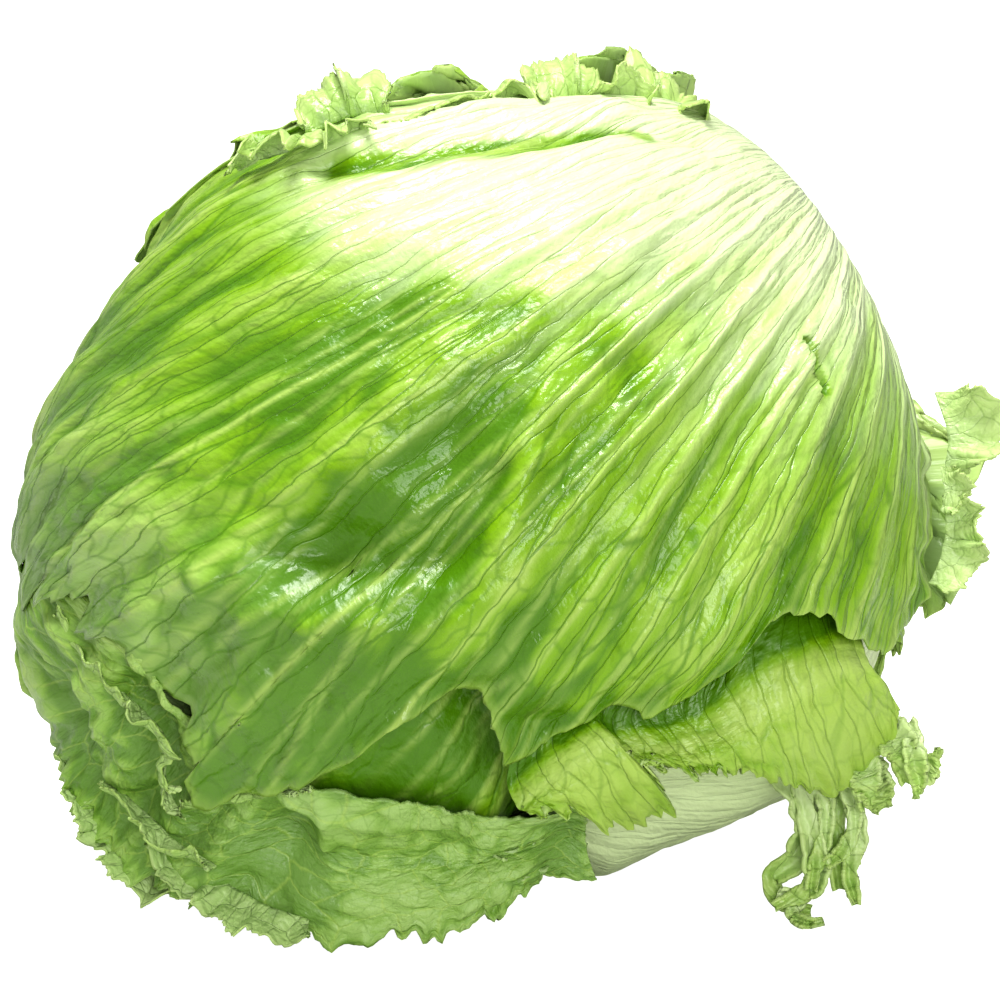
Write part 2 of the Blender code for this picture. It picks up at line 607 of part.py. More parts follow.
def heart():
    """The tight inner head: its pressed leaves show as three laps that wind round it."""
    columns, rows = HEART_GRID
    body = bmesh.new()
    ends = []
    rings = []
    for j in range(rows + 1):
        theta = 180.0 * j / rows
        if j in (0, rows):
            way = direction(np.array(0.0), np.array(theta))
            point = place(way[None], np.array([HEART_LIFT]))[0]
            ends.append(body.verts.new(Vector(point) * MM))
            continue
        phi = np.arange(columns) * 360.0 / columns
        way = direction(phi, np.full(columns, theta))
        lap = ((phi + LAP_SLANT * theta) / 360.0 * HEART_LEAVES) % 1.0
        step = HEART_STEP * (lap - 0.5) * math.sin(math.radians(theta))
        lift = HEART_LIFT + step + HEART_RELIEF * soft_relief(way)
        rings.append([body.verts.new(Vector(point) * MM) for point in place(way, lift)])
    for k in range(columns):
        n = (k + 1) % columns
        body.faces.new((ends[0], rings[0][k], rings[0][n]))
        body.faces.new((ends[1], rings[-1][n], rings[-1][k]))
        for low, high in zip(rings, rings[1:]):
            body.faces.new((low[k], high[k], high[n]))
            body.faces.new((low[k], high[n], low[n]))
    bmesh.ops.recalc_face_normals(body, faces=body.faces)
    mesh = bpy.data.meshes.new("heart")
    body.to_mesh(mesh)
    body.free()
    add_object("heart", mesh, make_material("heart", HEART_GREEN, 0.45))


def clear_scene():
    for piece in list(bpy.data.objects):
        bpy.data.objects.remove(piece, do_unlink=True)


def main():
    clear_scene()
    bpy.context.scene.unit_settings.scale_length = 1.0
    stem()
    heart()
    inner_leaf()
    under_leaf()
    wrap_leaf()
    side_leaf()
    front_leaf()
    outer_leaf("right_leaf", 108.0, RIGHT_RIM, 24, 10, 51, 2.4, RIGHT_LOBES, RIGHT_GREEN)
    outer_leaf("top_leaf", -100.0, TOP_RIM, 22, 12, 61, 3.2, TOP_LOBES, TOP_GREEN)
    outer_leaf("back_leaf", 184.0, BACK_RIM, 20, 13, 71, 1.6, (), BACK_GREEN)


main()
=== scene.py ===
"""Finish of a cut head of iceberg lettuce: ribbed, veined and torn leaves over the plain solids of the frame.

The head is described in angles round its stem. THETA runs from the stem (0 degrees) to the round top end
(180), and PHI runs round the stem: 0 faces the front, 90 faces down, -90 faces up, 180 the back. LIFT is the
height in millimetres above the head's plain surface. Every leaf is a sheet over that surface.
"""

import math

import bpy
import numpy as np
from bpy.props import FloatProperty, FloatVectorProperty, PointerProperty
from mathutils import Matrix, Vector


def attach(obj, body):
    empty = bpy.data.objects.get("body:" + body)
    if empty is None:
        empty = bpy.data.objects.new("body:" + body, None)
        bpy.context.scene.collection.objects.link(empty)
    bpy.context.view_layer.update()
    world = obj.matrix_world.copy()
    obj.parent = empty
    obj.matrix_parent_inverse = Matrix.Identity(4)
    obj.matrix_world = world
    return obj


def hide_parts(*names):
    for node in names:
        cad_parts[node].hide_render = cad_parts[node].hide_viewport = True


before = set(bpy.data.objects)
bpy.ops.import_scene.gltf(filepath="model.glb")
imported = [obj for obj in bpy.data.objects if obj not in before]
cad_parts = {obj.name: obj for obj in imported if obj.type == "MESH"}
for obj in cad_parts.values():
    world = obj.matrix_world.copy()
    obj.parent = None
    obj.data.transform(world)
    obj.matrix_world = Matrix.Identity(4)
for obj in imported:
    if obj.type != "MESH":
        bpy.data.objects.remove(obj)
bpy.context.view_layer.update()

bl_info = {
    "name": "Iceberg lettuce",
    "version": (1, 0, 0),
    "blender": (4, 5, 0),
    "location": "3D View > Sidebar > Lettuce",
    "description": "Builds the leaves, the cut stem and the table of an iceberg lettuce",
    "category": "Object",
}

MM = 0.001
BODY = "root"

# The head, in mm and degrees. The radii of its outline stand 30 degrees apart in the picture, from the right
# upwards, the picture looks down by its tilt, and the stem's axis is given as (right, up, toward) in it.
HEAD_CENTRE = (-3.5, 2.75, 66.0)
VIEW_TILT = 15.0
OUTLINE_RADII = (80.1, 78.9, 80.1, 73.8, 74.0, 74.9, 82.0, 89.0, 84.2, 73.8, 71.3, 81.0)
HALF_DEPTH = 76.0
MEAN_RADIUS = 78.0
STEM_AXIS = (0.717, 0.668, -0.2)

# Each leaf lies this far under the next one out, and starts at this angle from the stem.
LAYER_STEP = 2.7
BASE_ANGLE = 12.5

# How far the way of the stem leans away from the front, how far from the stem the lean reaches, and the angle
# at which the cut stem's middle lies.
STEM_LEAN = 16.0
STEM_LEAN_SPREAD = 30.0
STEM_OFFSET = 2.6

# The heart lies this far under the surface, and each of its leaves laps the next by a step.
HEART_LIFT = -15.8
HEART_STEP = 1.6
HEART_LEAVES = 3

# The camera, in mm.
CAMERA_DISTANCE = 746.7
CAMERA_ASIDE = 3.6
CAMERA_LENS = 150.0
CAMERA_SENSOR = 36.0

# Strengths of the light from all round and of the table's own white in the picture.
WORLD_LIGHT = 0.42
TABLE_GLOW = 0.8

# The table, in metres: how far it lies under the head, and its reach to each side.
TABLE_DROP = 0.0004
TABLE_REACH = 4.0

# Lamps: place in metres, size in metres and power in watts.
KEY_LIGHT = ((-0.10, -0.02, 1.05), 0.50, 10.6)
FILL_LIGHT = ((0.22, -1.0, 0.36), 0.60, 4.8)

# Widths of folds and pitches along a rim are taken over a sphere of this radius.
ARC_RADIUS = 80.0
RAGGED_PITCH = 15.0

# Each leaf stays pale up to this angle from the stem and turns green over the span after it.
PALE_END = 16.0
GREEN_SPAN = 130.0
OUTER_GREEN_SPAN = 110.0

# Turns round the stem of the ribs, and the width in mm of one turn where the head is widest.
RIB_TURNS = (-40, -31, -25, -18.5, -10.5, -5.5, 0.5, 6, 10.5, 15.3, 20, 26, 33, 41, 48, 56)
TURN_WIDTH = 2.4

# Side veins of each rib: how many, where the first leaves it in degrees from the stem, and their pitch.
SIDE_VEINS = 7
SIDE_VEIN_START = 30.0
SIDE_VEIN_PITCH = 15.0

# The spread of the ribs: even at first, then growing with a power of the angle, with a soft change between.
FAN_NEAR = 1.35
FAN_POWER = 1.25
FAN_CHANGE = 6

tilt = math.radians(VIEW_TILT)
RIGHT = np.array((1.0, 0.0, 0.0))
UP = np.array((0.0, math.sin(tilt), math.cos(tilt)))
TOWARD = np.array((0.0, -math.cos(tilt), math.sin(tilt)))


def unit(vector):
    """The same direction with a length of 1."""
    return vector / np.maximum(np.linalg.norm(vector, axis=-1, keepdims=True), 1e-9)


AXIS = unit(STEM_AXIS[0] * RIGHT + STEM_AXIS[1] * UP + STEM_AXIS[2] * TOWARD)
FRONT = unit(TOWARD - (TOWARD @ AXIS) * AXIS)
SIDE = np.cross(AXIS, FRONT)


def colour_property(name, description, default):
    return FloatVectorProperty(
        name=name, description=description, default=default, subtype="COLOR", size=3, min=0.0, max=1.0
    )


class LettuceSettings(bpy.types.PropertyGroup):
    """Sizes and colours of the finished leaves."""

    thickness: FloatProperty(
        name="Leaf thickness", description="Thickness of a leaf away from its edge", default=0.0008,
        min=0.0003, max=0.002, subtype="DISTANCE", unit="LENGTH",
    )
    rib_height: FloatProperty(
        name="Rib height", description="How far the ribs stand out, in millimetres", default=0.7,
        min=0.0, max=3.0,
    )
    puff_height: FloatProperty(
        name="Puff height", description="How far the blade swells between its veins, in millimetres",
        default=1.0, min=0.0, max=3.0,
    )
    pleat_height: FloatProperty(
        name="Pleat height", description="Depth of the folds along the ribs, in millimetres", default=0.8,
        min=0.0, max=3.0,
    )
    pale: colour_property("Pale", "Colour of the blade near the stem", (0.73, 0.86, 0.47))
    # Light and deep also serve as painted light on the ridges and painted shade in the hollows; deep is the
    # veins' own colour too.
    light: colour_property("Light", "Colour of the ridges", (0.44, 0.61, 0.12))
    green: colour_property("Green", "Colour of the blade", (0.215, 0.42, 0.004))
    deep: colour_property("Deep", "Colour of hollows and veins", (0.085, 0.225, 0.001))
    dull: colour_property("Dull", "Colour of the greyer outer blade", (0.37, 0.55, 0.17))
    stem: colour_property("Stem", "Colour of the cut stem", (0.80, 0.74, 0.52))
    table: colour_property("Table", "Colour of the table", (0.60, 0.60, 0.59))


# Smooth curves and random swells

def smooth(low, high, value):
    """0 below low, 1 above high and a smooth ramp between; low may be the larger."""
    share = np.clip((np.asarray(value, float) - low) / (high - low), 0.0, 1.0)
    return share * share * (3.0 - 2.0 * share)


def bell(gap, width):
    """1 at no gap, falling smoothly to nothing past the width."""
    return np.exp(-((gap / width) ** 2))


def spline_weights(position, count):
    """Catmull-Rom: the four rows that a position between 0 and count - 1 draws on, and their weights."""
    position = np.clip(position, 0.0, count - 1.0)
    low = np.minimum(np.floor(position).astype(int), count - 2)
    t = position - low
    rows = np.clip(np.stack((low - 1, low, low + 1, low + 2), axis=-1), 0, count - 1)
    weights = (
        -0.5 * t + t**2 - 0.5 * t**3,
        1.0 - 2.5 * t**2 + 1.5 * t**3,
        0.5 * t + 2.0 * t**2 - 1.5 * t**3,
        -0.5 * t**2 + 0.5 * t**3,
    )
    return rows, np.stack(weights, axis=-1)


def spline(values, position):
    """A smooth run of values through the rows given, at positions from 0 to len(values) - 1."""
    values = np.asarray(values, float)
    rows, weights = spline_weights(position, len(values))
    if values.ndim == 1:
        return np.einsum("...a,...a->...", weights, values[rows])
    return np.einsum("...a,...ac->...c", weights, values[rows])


def wander(position, seed):
    """A smooth wave without a fixed pitch, between -1 and 1; position counts waves."""
    shift = np.random.default_rng(seed).uniform(0.0, 2 * math.pi, 4)
    total = np.sin(2 * math.pi * position + shift[0])
    total += 0.6 * np.sin(2 * math.pi * 1.63 * position + shift[1])
    total += 0.5 * np.sin(2 * math.pi * 0.41 * position + shift[2])
    total += 0.3 * np.sin(2 * math.pi * 2.71 * position + shift[3])
    return total / 2.0


def swells(x, y, seed):
    """Smooth random bumps between -1 and 1, about one to each unit of x and y."""
    size = 128
    table = np.random.default_rng(seed).uniform(-1.0, 1.0, (size, size))
    i, j = np.floor(x).astype(int), np.floor(y).astype(int)
    u, v = x - i, y - j
    u, v = u * u * (3 - 2 * u), v * v * (3 - 2 * v)
    low = table[i % size, j % size] * (1 - u) + table[(i + 1) % size, j % size] * u
    high = table[i % size, (j + 1) % size] * (1 - u) + table[(i + 1) % size, (j + 1) % size] * u
    return low * (1 - v) + high * v


def rough(x, y, seed):
    """Swells with two finer layers over them."""
    fine = 0.5 * swells(2.1 * x, 2.1 * y, seed + 1) + 0.25 * swells(4.3 * x, 4.3 * y, seed + 2)
    return (swells(x, y, seed) + fine) / 1.4


def cells(x, y, seed):
    """A net of random cells: 0 on the lines between them, rising to about 1 in their middles."""
    size = 64
    jitter = np.random.default_rng(seed).uniform(0.08, 0.92, (size, size, 2))
    i, j = np.floor(x).astype(int), np.floor(y).astype(int)
    first = np.full(x.shape, 9.0)
    second = np.full(x.shape, 9.0)
    for di in (-1, 0, 1):
        for dj in (-1, 0, 1):
            spot = jitter[(i + di) % size, (j + dj) % size]
            gap = np.hypot(i + di + spot[..., 0] - x, j + dj + spot[..., 1] - y)
            second = np.minimum(second, np.maximum(first, gap))
            first = np.minimum(first, gap)
    return np.clip(second - first, 0.0, 1.0)


# The head's form

def direction(phi, theta):
    """The way out from the centre at these angles; near the stem it leans away from the front."""
    phi = np.radians(phi)[..., None]
    lean = np.radians(STEM_LEAN) * np.exp(-((np.asarray(theta)[..., None] / STEM_LEAN_SPREAD) ** 2))
    theta = np.radians(theta)[..., None]
    way = np.cos(theta) * AXIS + np.sin(theta) * (np.cos(phi) * FRONT + np.sin(phi) * SIDE)
    level = (way @ SIDE)[..., None] * SIDE
    return level + (way - level) * np.cos(lean) - np.cross(SIDE, way) * np.sin(lean)


def angles(way):
    """PHI and THETA of a way out from the centre, without the stem's lean."""
    phi = np.degrees(np.arctan2(way @ SIDE, way @ FRONT))
    return phi, np.degrees(np.arccos(np.clip(way @ AXIS, -1.0, 1.0)))


def head_radius(way):
    """Distance from the head's centre to its plain surface."""
    across = way @ RIGHT
    height = way @ UP
    turn = np.arctan2(height, across) / (2 * math.pi) % 1.0
    ring = np.array(OUTLINE_RADII[-1:] + OUTLINE_RADII + OUTLINE_RADII[:2])
    outline = spline(ring, turn * len(OUTLINE_RADII) + 1.0)
    return 1.0 / np.sqrt((np.hypot(across, height) / outline) ** 2 + (way @ TOWARD / HALF_DEPTH) ** 2)


def place(way, lift):
    """The point at a lift over the plain surface, never below the table."""
    point = np.array(HEAD_CENTRE) + way * (head_radius(way) + lift)[..., None]
    point[..., 2] = np.maximum(point[..., 2], 0.0)
    return point


def fan(theta):
    """How far the ribs of a leaf have spread at each angle from the stem."""
    angle = np.radians(theta)
    grown = angle**FAN_POWER / np.sin(angle)
    return (FAN_NEAR**FAN_CHANGE + grown**FAN_CHANGE) ** (1 / FAN_CHANGE)


# Folds of the outer leaves: points (phi, theta), half width in mm and height in mm.
FOLDS = (
    (((0, 96), (8, 106), (7, 115), (0, 121)), 7.0, 2.8),
    (((-4, 100), (0, 108), (-2, 114), (-9, 119)), 8.0, -4.2),
    (((-15, 124), (-6, 119)), 7.0, -1.8),
    (((-19, 131), (-5, 127), (6, 120)), 7.0, 2.0),
    (((38, 121), (36, 115), (35, 107), (40, 98), (43, 91)), 6.0, -2.6),
    (((17, 123), (21, 117)), 4.0, -2.6),
    (((27, 118), (32, 114)), 4.0, -2.6),
    (((-17, 157),), 7.0, -3.6),
    (((37, 154),), 8.0, -4.4),
    (((-3, 149),), 5.0, -1.6),
    (((-30, 143), (-38, 150)), 5.0, 1.8),
    (((22, 45), (24, 65), (29, 82), (34, 95)), 5.0, 1.4),
    (((-28, 92), (-40, 112)), 9.0, -1.8),
    (((-16, 92), (-17, 112)), 6.0, 1.6),
    (((-52, 82), (-45, 74), (-41, 65), (-36, 55), (-30, 45), (-23, 39)), 3.6, -2.4),
    (((-59, 80), (-53, 70), (-49, 60), (-44, 52), (-37, 45)), 5.0, 1.8),
)

# Finer creases and ridges that only the finished front leaf shows.
CREASES = (
    (((1, 92), (3, 98), (7, 105), (6, 111), (1, 117), (-5, 121)), 1.6, 0.9),
    (((-1, 97), (2, 104), (3, 110), (-2, 116)), 2.2, -1.5),
    (((-17, 126), (-12, 123), (-5, 119.5)), 1.6, -1.2),
    (((-20, 133), (-12, 130), (-3, 126)), 2.0, 0.8),
)

# Dark green hollows of the front leaf's blade, painted darker and greener than the blade round them: partly
# the leaf's deeper green, partly painted shade in the hollows.
PATCHES = (
    (((-21.9, 87.4), (-24.6, 96.5), (-26.0, 107.5)), 5.0, -1.0),
    (((-13.7, 81.9), (-14.3, 88.0), (-12.4, 96.4), (-11.9, 101.5)), 4.0, -1.0),
    (((-3.6, 77.1), (1.1, 76.3)), 4.0, -0.8),
    (((-4.8, 92.5), (-1.1, 97.3), (0.9, 103.7), (5.4, 109.6)), 3.5, -1.2),
    (((4.8, 111.4), (1.9, 115.8)), 4.0, -1.2),
    (((-13.2, 124.8), (-5.2, 119.5)), 4.0, -0.9),
)


def fold_relief(way, folds):
    """Creases, ridges and hollows, as a lift in mm."""
    total = np.zeros(way.shape[:-1])
    for points, half_width, height in folds:
        corners = direction(*np.array(points, float).T)
        nearest = np.full(way.shape[:-1], np.inf)
        for start, end in zip(corners, corners[1:] if len(corners) > 1 else corners):
            run = end - start
            share = np.clip(((way - start) @ run) / max(run @ run, 1e-9), 0.0, 1.0)
            gap = np.linalg.norm(way - start - share[..., None] * run, axis=-1)
            nearest = np.minimum(nearest, gap)
        total += height * bell(ARC_RADIUS * nearest, half_width)
    return total


def soft_relief(way):
    """Broad swells that every layer of the head shares."""
    x, y, z = np.moveaxis(way, -1, 0)
    total = np.sin(4.1 * x + 2.3 * y + 0.5) * np.sin(3.7 * z - 1.9 * y + 1.2)
    total += 0.7 * np.sin(5.3 * y - 3.1 * z + 2.0) * np.sin(4.6 * x + 1.1 * z)
    return 0.8 * total


def sheet_grid(columns, rows, crowd=1.0):
    """Grid positions s (across) and t (stem to rim); crowd over 1 puts more rows near the rim."""
    s, t = np.meshgrid(np.linspace(0, 1, columns + 1), np.linspace(0, 1, rows + 1), indexing="ij")
    return s, 1.0 - (1.0 - t) ** crowd


def fan_leaf(middle, rim, s, t, ragged, seed, base=BASE_ANGLE):
    """Angles of a leaf whose rays fan out from the stem to the points of its rim, and each ray's turn."""
    rim = np.array(rim, float)
    corners = direction(*rim.T)
    reach = np.concatenate(((0.0,), np.cumsum(np.linalg.norm(np.diff(corners, axis=0), axis=1))))
    along = np.interp(s, reach / reach[-1], np.arange(len(rim)))
    turns = (rim[:, 0] - middle) / fan(rim[:, 1])
    turn = 0.5 * (np.interp(along, np.arange(len(rim)), turns) + spline(turns, along))
    end = 0.5 * (np.interp(along, np.arange(len(rim)), rim[:, 1]) + spline(rim[:, 1], along))
    waves = s * reach[-1] * ARC_RADIUS / RAGGED_PITCH
    end = end + ragged * (wander(waves, seed) + 0.4 * wander(waves * 3.1, seed + 100))
    end = end + 0.35 * ragged * np.abs(wander(waves * 5.7, seed + 200))
    theta = base + (end - base) * t
    return middle + turn * fan(theta), theta, turn


def rim_share(s, t, depth):
    """1 at the free edges of a fanned leaf and 0 further in than depth, a share of its size."""
    inward = np.minimum(1.0 - t, np.minimum(s, 1.0 - s) * 1.6)
    return smooth(depth, 0.0, inward) * smooth(0.15, 0.45, t)


def lines_leaf(lines, s, t):
    """Ways and lifts of a leaf given by lines of points (phi, theta, lift) from the stem to the tip."""
    points = np.array(lines, float)
    ways = direction(points[..., 0], points[..., 1])
    values = np.concatenate((ways, points[..., 2:]), axis=-1)
    lines_used, line_weights = spline_weights(s * (points.shape[0] - 1), points.shape[0])
    marks_used, mark_weights = spline_weights(t * (points.shape[1] - 1), points.shape[1])
    found = values[lines_used[..., :, None], marks_used[..., None, :]]
    found = np.einsum("...a,...b,...abc->...c", line_weights, mark_weights, found)
    return unit(found[..., :3]), found[..., 3]


def pleats(turn, theta, height):
    """Broad folds along the ribs."""
    wave = np.cos(2 * math.pi * np.interp(turn, RIB_TURNS, np.arange(len(RIB_TURNS))))
    return height * wave * smooth(34, 78, theta) * smooth(165, 140, theta)


def ribs(turn, theta, rib_turns, seed):
    """Raised ribs and the veins that leave them at narrow angles: how much of each there is, from 0 to 1."""
    chance = np.random.default_rng(seed)
    pitch = TURN_WIDTH * fan(theta) / fan(90.0) * np.sin(np.radians(theta))
    main = np.zeros(turn.shape)
    branch = np.zeros(turn.shape)
    fade = smooth(15, 30, theta) * smooth(162, 126, theta)
    for rib in rib_turns:
        bend = 0.5 * swells(theta / 22.0, np.full(turn.shape, rib + 0.5), seed)
        gap = (turn - rib - bend) * pitch
        main = np.maximum(main, fade * bell(gap, 0.6 + 0.5 * smooth(90, 25, theta)))
        for step in range(SIDE_VEINS):
            start = SIDE_VEIN_START + SIDE_VEIN_PITCH * step + chance.uniform(-6.0, 6.0)
            side = 1.0 if (step + chance.integers(2)) % 2 else -1.0
            spread = chance.uniform(1.6, 3.6)
            past = np.maximum(theta - start, 0.0)
            path = rib + bend + side * spread * (1.0 - np.exp(-past / 20.0))
            shown = smooth(start, start + 8, theta) * smooth(start + 75, start + 35, theta)
            branch = np.maximum(branch, shown * bell((turn - path) * pitch, 0.55))
    return main, branch


# Meshes

def grid_faces(columns, rows, offset, turned):
    """The squares of a grid whose vertices start at an offset; turned ones face the other way."""
    i, j = np.meshgrid(np.arange(columns - 1), np.arange(rows - 1), indexing="ij")
    a = (i * rows + j).ravel() + offset
    quads = np.stack((a, a + rows, a + rows + 1, a + 1), axis=1)
    return quads[:, ::-1] if turned else quads


def border(columns, rows):
    """The vertices round the edge of a grid, in order."""
    low = [i * rows for i in range(columns)]
    right = [(columns - 1) * rows + j for j in range(1, rows)]
    high = [i * rows + rows - 1 for i in range(columns - 2, -1, -1)]
    left = [j for j in range(rows - 2, 0, -1)]
    return np.array(low + right + high + left)


def sheet_piece(name, points, marks, thickness):
    """A closed leaf: an outer sheet of points in mm, an inner one behind it and a rim that joins them."""
    columns, rows = points.shape[:2]
    along_s = np.gradient(points, axis=0)
    along_t = np.gradient(points, axis=1)
    normal = unit(np.cross(along_s, along_t))
    outward = np.sum(normal * (points - np.array(HEAD_CENTRE)), axis=-1)
    facing_out = np.sum(outward) > 0
    if not facing_out:
        normal = -normal
    inner = points - normal * thickness[..., None]
    for sheet in (points, inner):
        sheet[..., 2] = np.maximum(sheet[..., 2], 0.0)
    count = columns * rows
    edge = border(columns, rows)
    after = np.roll(edge, -1)
    rim = np.stack((edge, after, after + count, edge + count), axis=1)
    outer_faces = grid_faces(columns, rows, 0, not facing_out)
    inner_faces = grid_faces(columns, rows, count, facing_out)
    if facing_out:
        rim = rim[:, ::-1]
    vertices = np.concatenate((points.reshape(-1, 3), inner.reshape(-1, 3))) * MM
    faces = np.concatenate((outer_faces, inner_faces, rim))
    mesh = bpy.data.meshes.new(name)
    mesh.from_pydata(vertices.tolist(), [], faces.tolist())
    mesh.shade_smooth()
    for mark, values in marks.items():
        flat = values.reshape(-1, 3)
        under = flat.copy()
        if mark == "leaf_mark":
            # The inner side is marked for the material.
            under[:, 2] = 1.0
        layer = mesh.attributes.new(mark, "FLOAT_VECTOR", "POINT")
        layer.data.foreach_set("vector", np.concatenate((flat, under)).astype(np.float32).ravel())
    piece = bpy.data.objects.new(name, mesh)
    bpy.context.scene.collection.objects.link(piece)
    return piece


def marks_of(across, along, seed, rib, reach, shade_and_tone, dull, edge):
    """The values that the leaf materials read at each point."""
    whole = np.ones(across.shape)
    return {
        "leaf_place": np.stack((across, along, seed * whole), axis=-1),
        "leaf_tone": np.stack((rib * whole, reach * whole, shade_and_tone * whole), axis=-1),
        "leaf_mark": np.stack((dull * whole, edge * whole, 0 * whole), axis=-1),
    }


def dress(piece, material, slot, *nodes):
    """Gives a piece its finish and its place in the frame."""
    piece.data.materials.append(material)
    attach(piece, BODY)
    if nodes:
        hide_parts(*nodes)
    return piece


# Materials

class Nodes:
    """Short ways to add and join the nodes of one tree."""

    def __init__(self, tree):
        self.tree = tree

    def add(self, kind, **values):
        node = self.tree.nodes.new(kind)
        for key, value in values.items():
            setattr(node, key, value)
        return node

    def put(self, socket, value):
        if isinstance(value, bpy.types.NodeSocket):
            self.tree.links.new(value, socket)
        else:
            socket.default_value = value

    def math(self, operation, first, second=0.0, clamp=False):
        node = self.add("ShaderNodeMath", operation=operation, use_clamp=clamp)
        self.put(node.inputs[0], first)
        self.put(node.inputs[1], second)
        return node.outputs[0]

    def ramp(self, value, low, high, start=0.0, end=1.0):
        node = self.add("ShaderNodeMapRange", interpolation_type="SMOOTHSTEP")
        for socket, given in zip(node.inputs, (value, low, high, start, end)):
            self.put(socket, given)
        return node.outputs[0]

    def blend(self, share, first, second):
        node = self.add("ShaderNodeMix", data_type="RGBA")
        self.put(node.inputs["Factor"], share)
        self.put(node.inputs[6], first)
        self.put(node.inputs[7], second)
        return node.outputs[2]

    def scaled(self, vector, scale):
        node = self.add("ShaderNodeVectorMath", operation="MULTIPLY")
        self.put(node.inputs[0], vector)
        node.inputs[1].default_value = scale
        return node.outputs[0]

    def noise(self, vector, scale, detail=2.0):
        node = self.add("ShaderNodeTexNoise")
        self.put(node.inputs["Vector"], vector)
        node.inputs["Scale"].default_value = scale
        node.inputs["Detail"].default_value = detail
        return node.outputs["Fac"]

    def parts(self, name):
        """The three values of a named mark of the mesh."""
        read = self.add("ShaderNodeAttribute", attribute_name=name)
        split = self.add("ShaderNodeSeparateXYZ")
        self.put(split.inputs[0], read.outputs["Vector"])
        return read.outputs["Vector"], split.outputs


def new_group(name, inputs, outputs):
    """An empty shader node group with its sockets, and the sockets inside it."""
    group = bpy.data.node_groups.new(name, "ShaderNodeTree")
    for label, kind, value in inputs:
        socket = group.interface.new_socket(label, in_out="INPUT", socket_type=kind)
        if value is not None:
            socket.default_value = value
    for label, kind in outputs:
        group.interface.new_socket(label, in_out="OUTPUT", socket_type=kind)
    nodes = Nodes(group)
    return group, nodes, nodes.add("NodeGroupInput").outputs, nodes.add("NodeGroupOutput").inputs


def vein_group():
    """Lines between stretched cells, as in the net of veins of a leaf."""
    name = "Leaf vein net"
    if name in bpy.data.node_groups:
        return bpy.data.node_groups[name]
    group, nodes, given, made = new_group(
        name,
        (
            ("Place", "NodeSocketVector", None), ("Cell Width", "NodeSocketFloat", 9.0),
            ("Cell Length", "NodeSocketFloat", 30.0), ("Line", "NodeSocketFloat", 0.05),
            ("Waver", "NodeSocketFloat", 3.0),
        ),
        (("Vein", "NodeSocketFloat"), ("Puff", "NodeSocketFloat")),
    )
    shake = nodes.add("ShaderNodeTexNoise")
    nodes.put(shake.inputs["Vector"], given["Place"])
    shake.inputs["Scale"].default_value = 0.11
    shake.inputs["Detail"].default_value = 3.0
    centred = nodes.add("ShaderNodeVectorMath", operation="SUBTRACT")
    nodes.put(centred.inputs[0], shake.outputs["Color"])
    centred.inputs[1].default_value = (0.5, 0.5, 0.5)
    moved = nodes.add("ShaderNodeVectorMath", operation="SCALE")
    nodes.put(moved.inputs[0], centred.outputs[0])
    nodes.put(moved.inputs["Scale"], nodes.math("MULTIPLY", given["Waver"], 2.0))
    place_moved = nodes.add("ShaderNodeVectorMath", operation="ADD")
    nodes.put(place_moved.inputs[0], given["Place"])
    nodes.put(place_moved.inputs[1], moved.outputs[0])
    split = nodes.add("ShaderNodeSeparateXYZ")
    nodes.put(split.inputs[0], place_moved.outputs[0])
    joined = nodes.add("ShaderNodeCombineXYZ")
    nodes.put(joined.inputs[0], nodes.math("DIVIDE", split.outputs[0], given["Cell Width"]))
    nodes.put(joined.inputs[1], nodes.math("DIVIDE", split.outputs[1], given["Cell Length"]))
    net = nodes.add("ShaderNodeTexVoronoi", feature="DISTANCE_TO_EDGE", voronoi_dimensions="2D")
    nodes.put(net.inputs["Vector"], joined.outputs[0])
    net.inputs["Scale"].default_value = 1.0
    nodes.put(made["Vein"], nodes.ramp(net.outputs["Distance"], 0.0, given["Line"], 1.0, 0.0))
    nodes.put(made["Puff"], nodes.ramp(net.outputs["Distance"], 0.0, 0.35))
    return group


def grain_group():
    """Fine unevenness of a leaf's skin, as a height in mm, and its mottling."""
    name = "Leaf skin"
    if name in bpy.data.node_groups:
        return bpy.data.node_groups[name]
    group, nodes, given, made = new_group(
        name,
        (("Place", "NodeSocketVector", None), ("Amount", "NodeSocketFloat", 1.0)),
        (("Height", "NodeSocketFloat"), ("Mottle", "NodeSocketFloat")),
    )
    coarse = nodes.noise(nodes.scaled(given["Place"], (1.0, 0.6, 1.0)), 0.30, 2.0)
    fine = nodes.noise(given["Place"], 0.85, 2.0)
    sum_of = nodes.math("ADD", nodes.math("MULTIPLY", coarse, 0.62), nodes.math("MULTIPLY", fine, 0.24))
    nodes.put(made["Height"], nodes.math("MULTIPLY", sum_of, given["Amount"]))
    nodes.put(made["Mottle"], nodes.noise(nodes.scaled(given["Place"], (1.0, 0.4, 1.0)), 0.15, 5.0))
    return group


def use_group(nodes, group, **values):
    """Places a node group with its own values and gives back its sockets."""
    node = nodes.add("ShaderNodeGroup", node_tree=group)
    for key, value in values.items():
        nodes.put(node.inputs[key.replace("_", " ")], value)
    return node.outputs


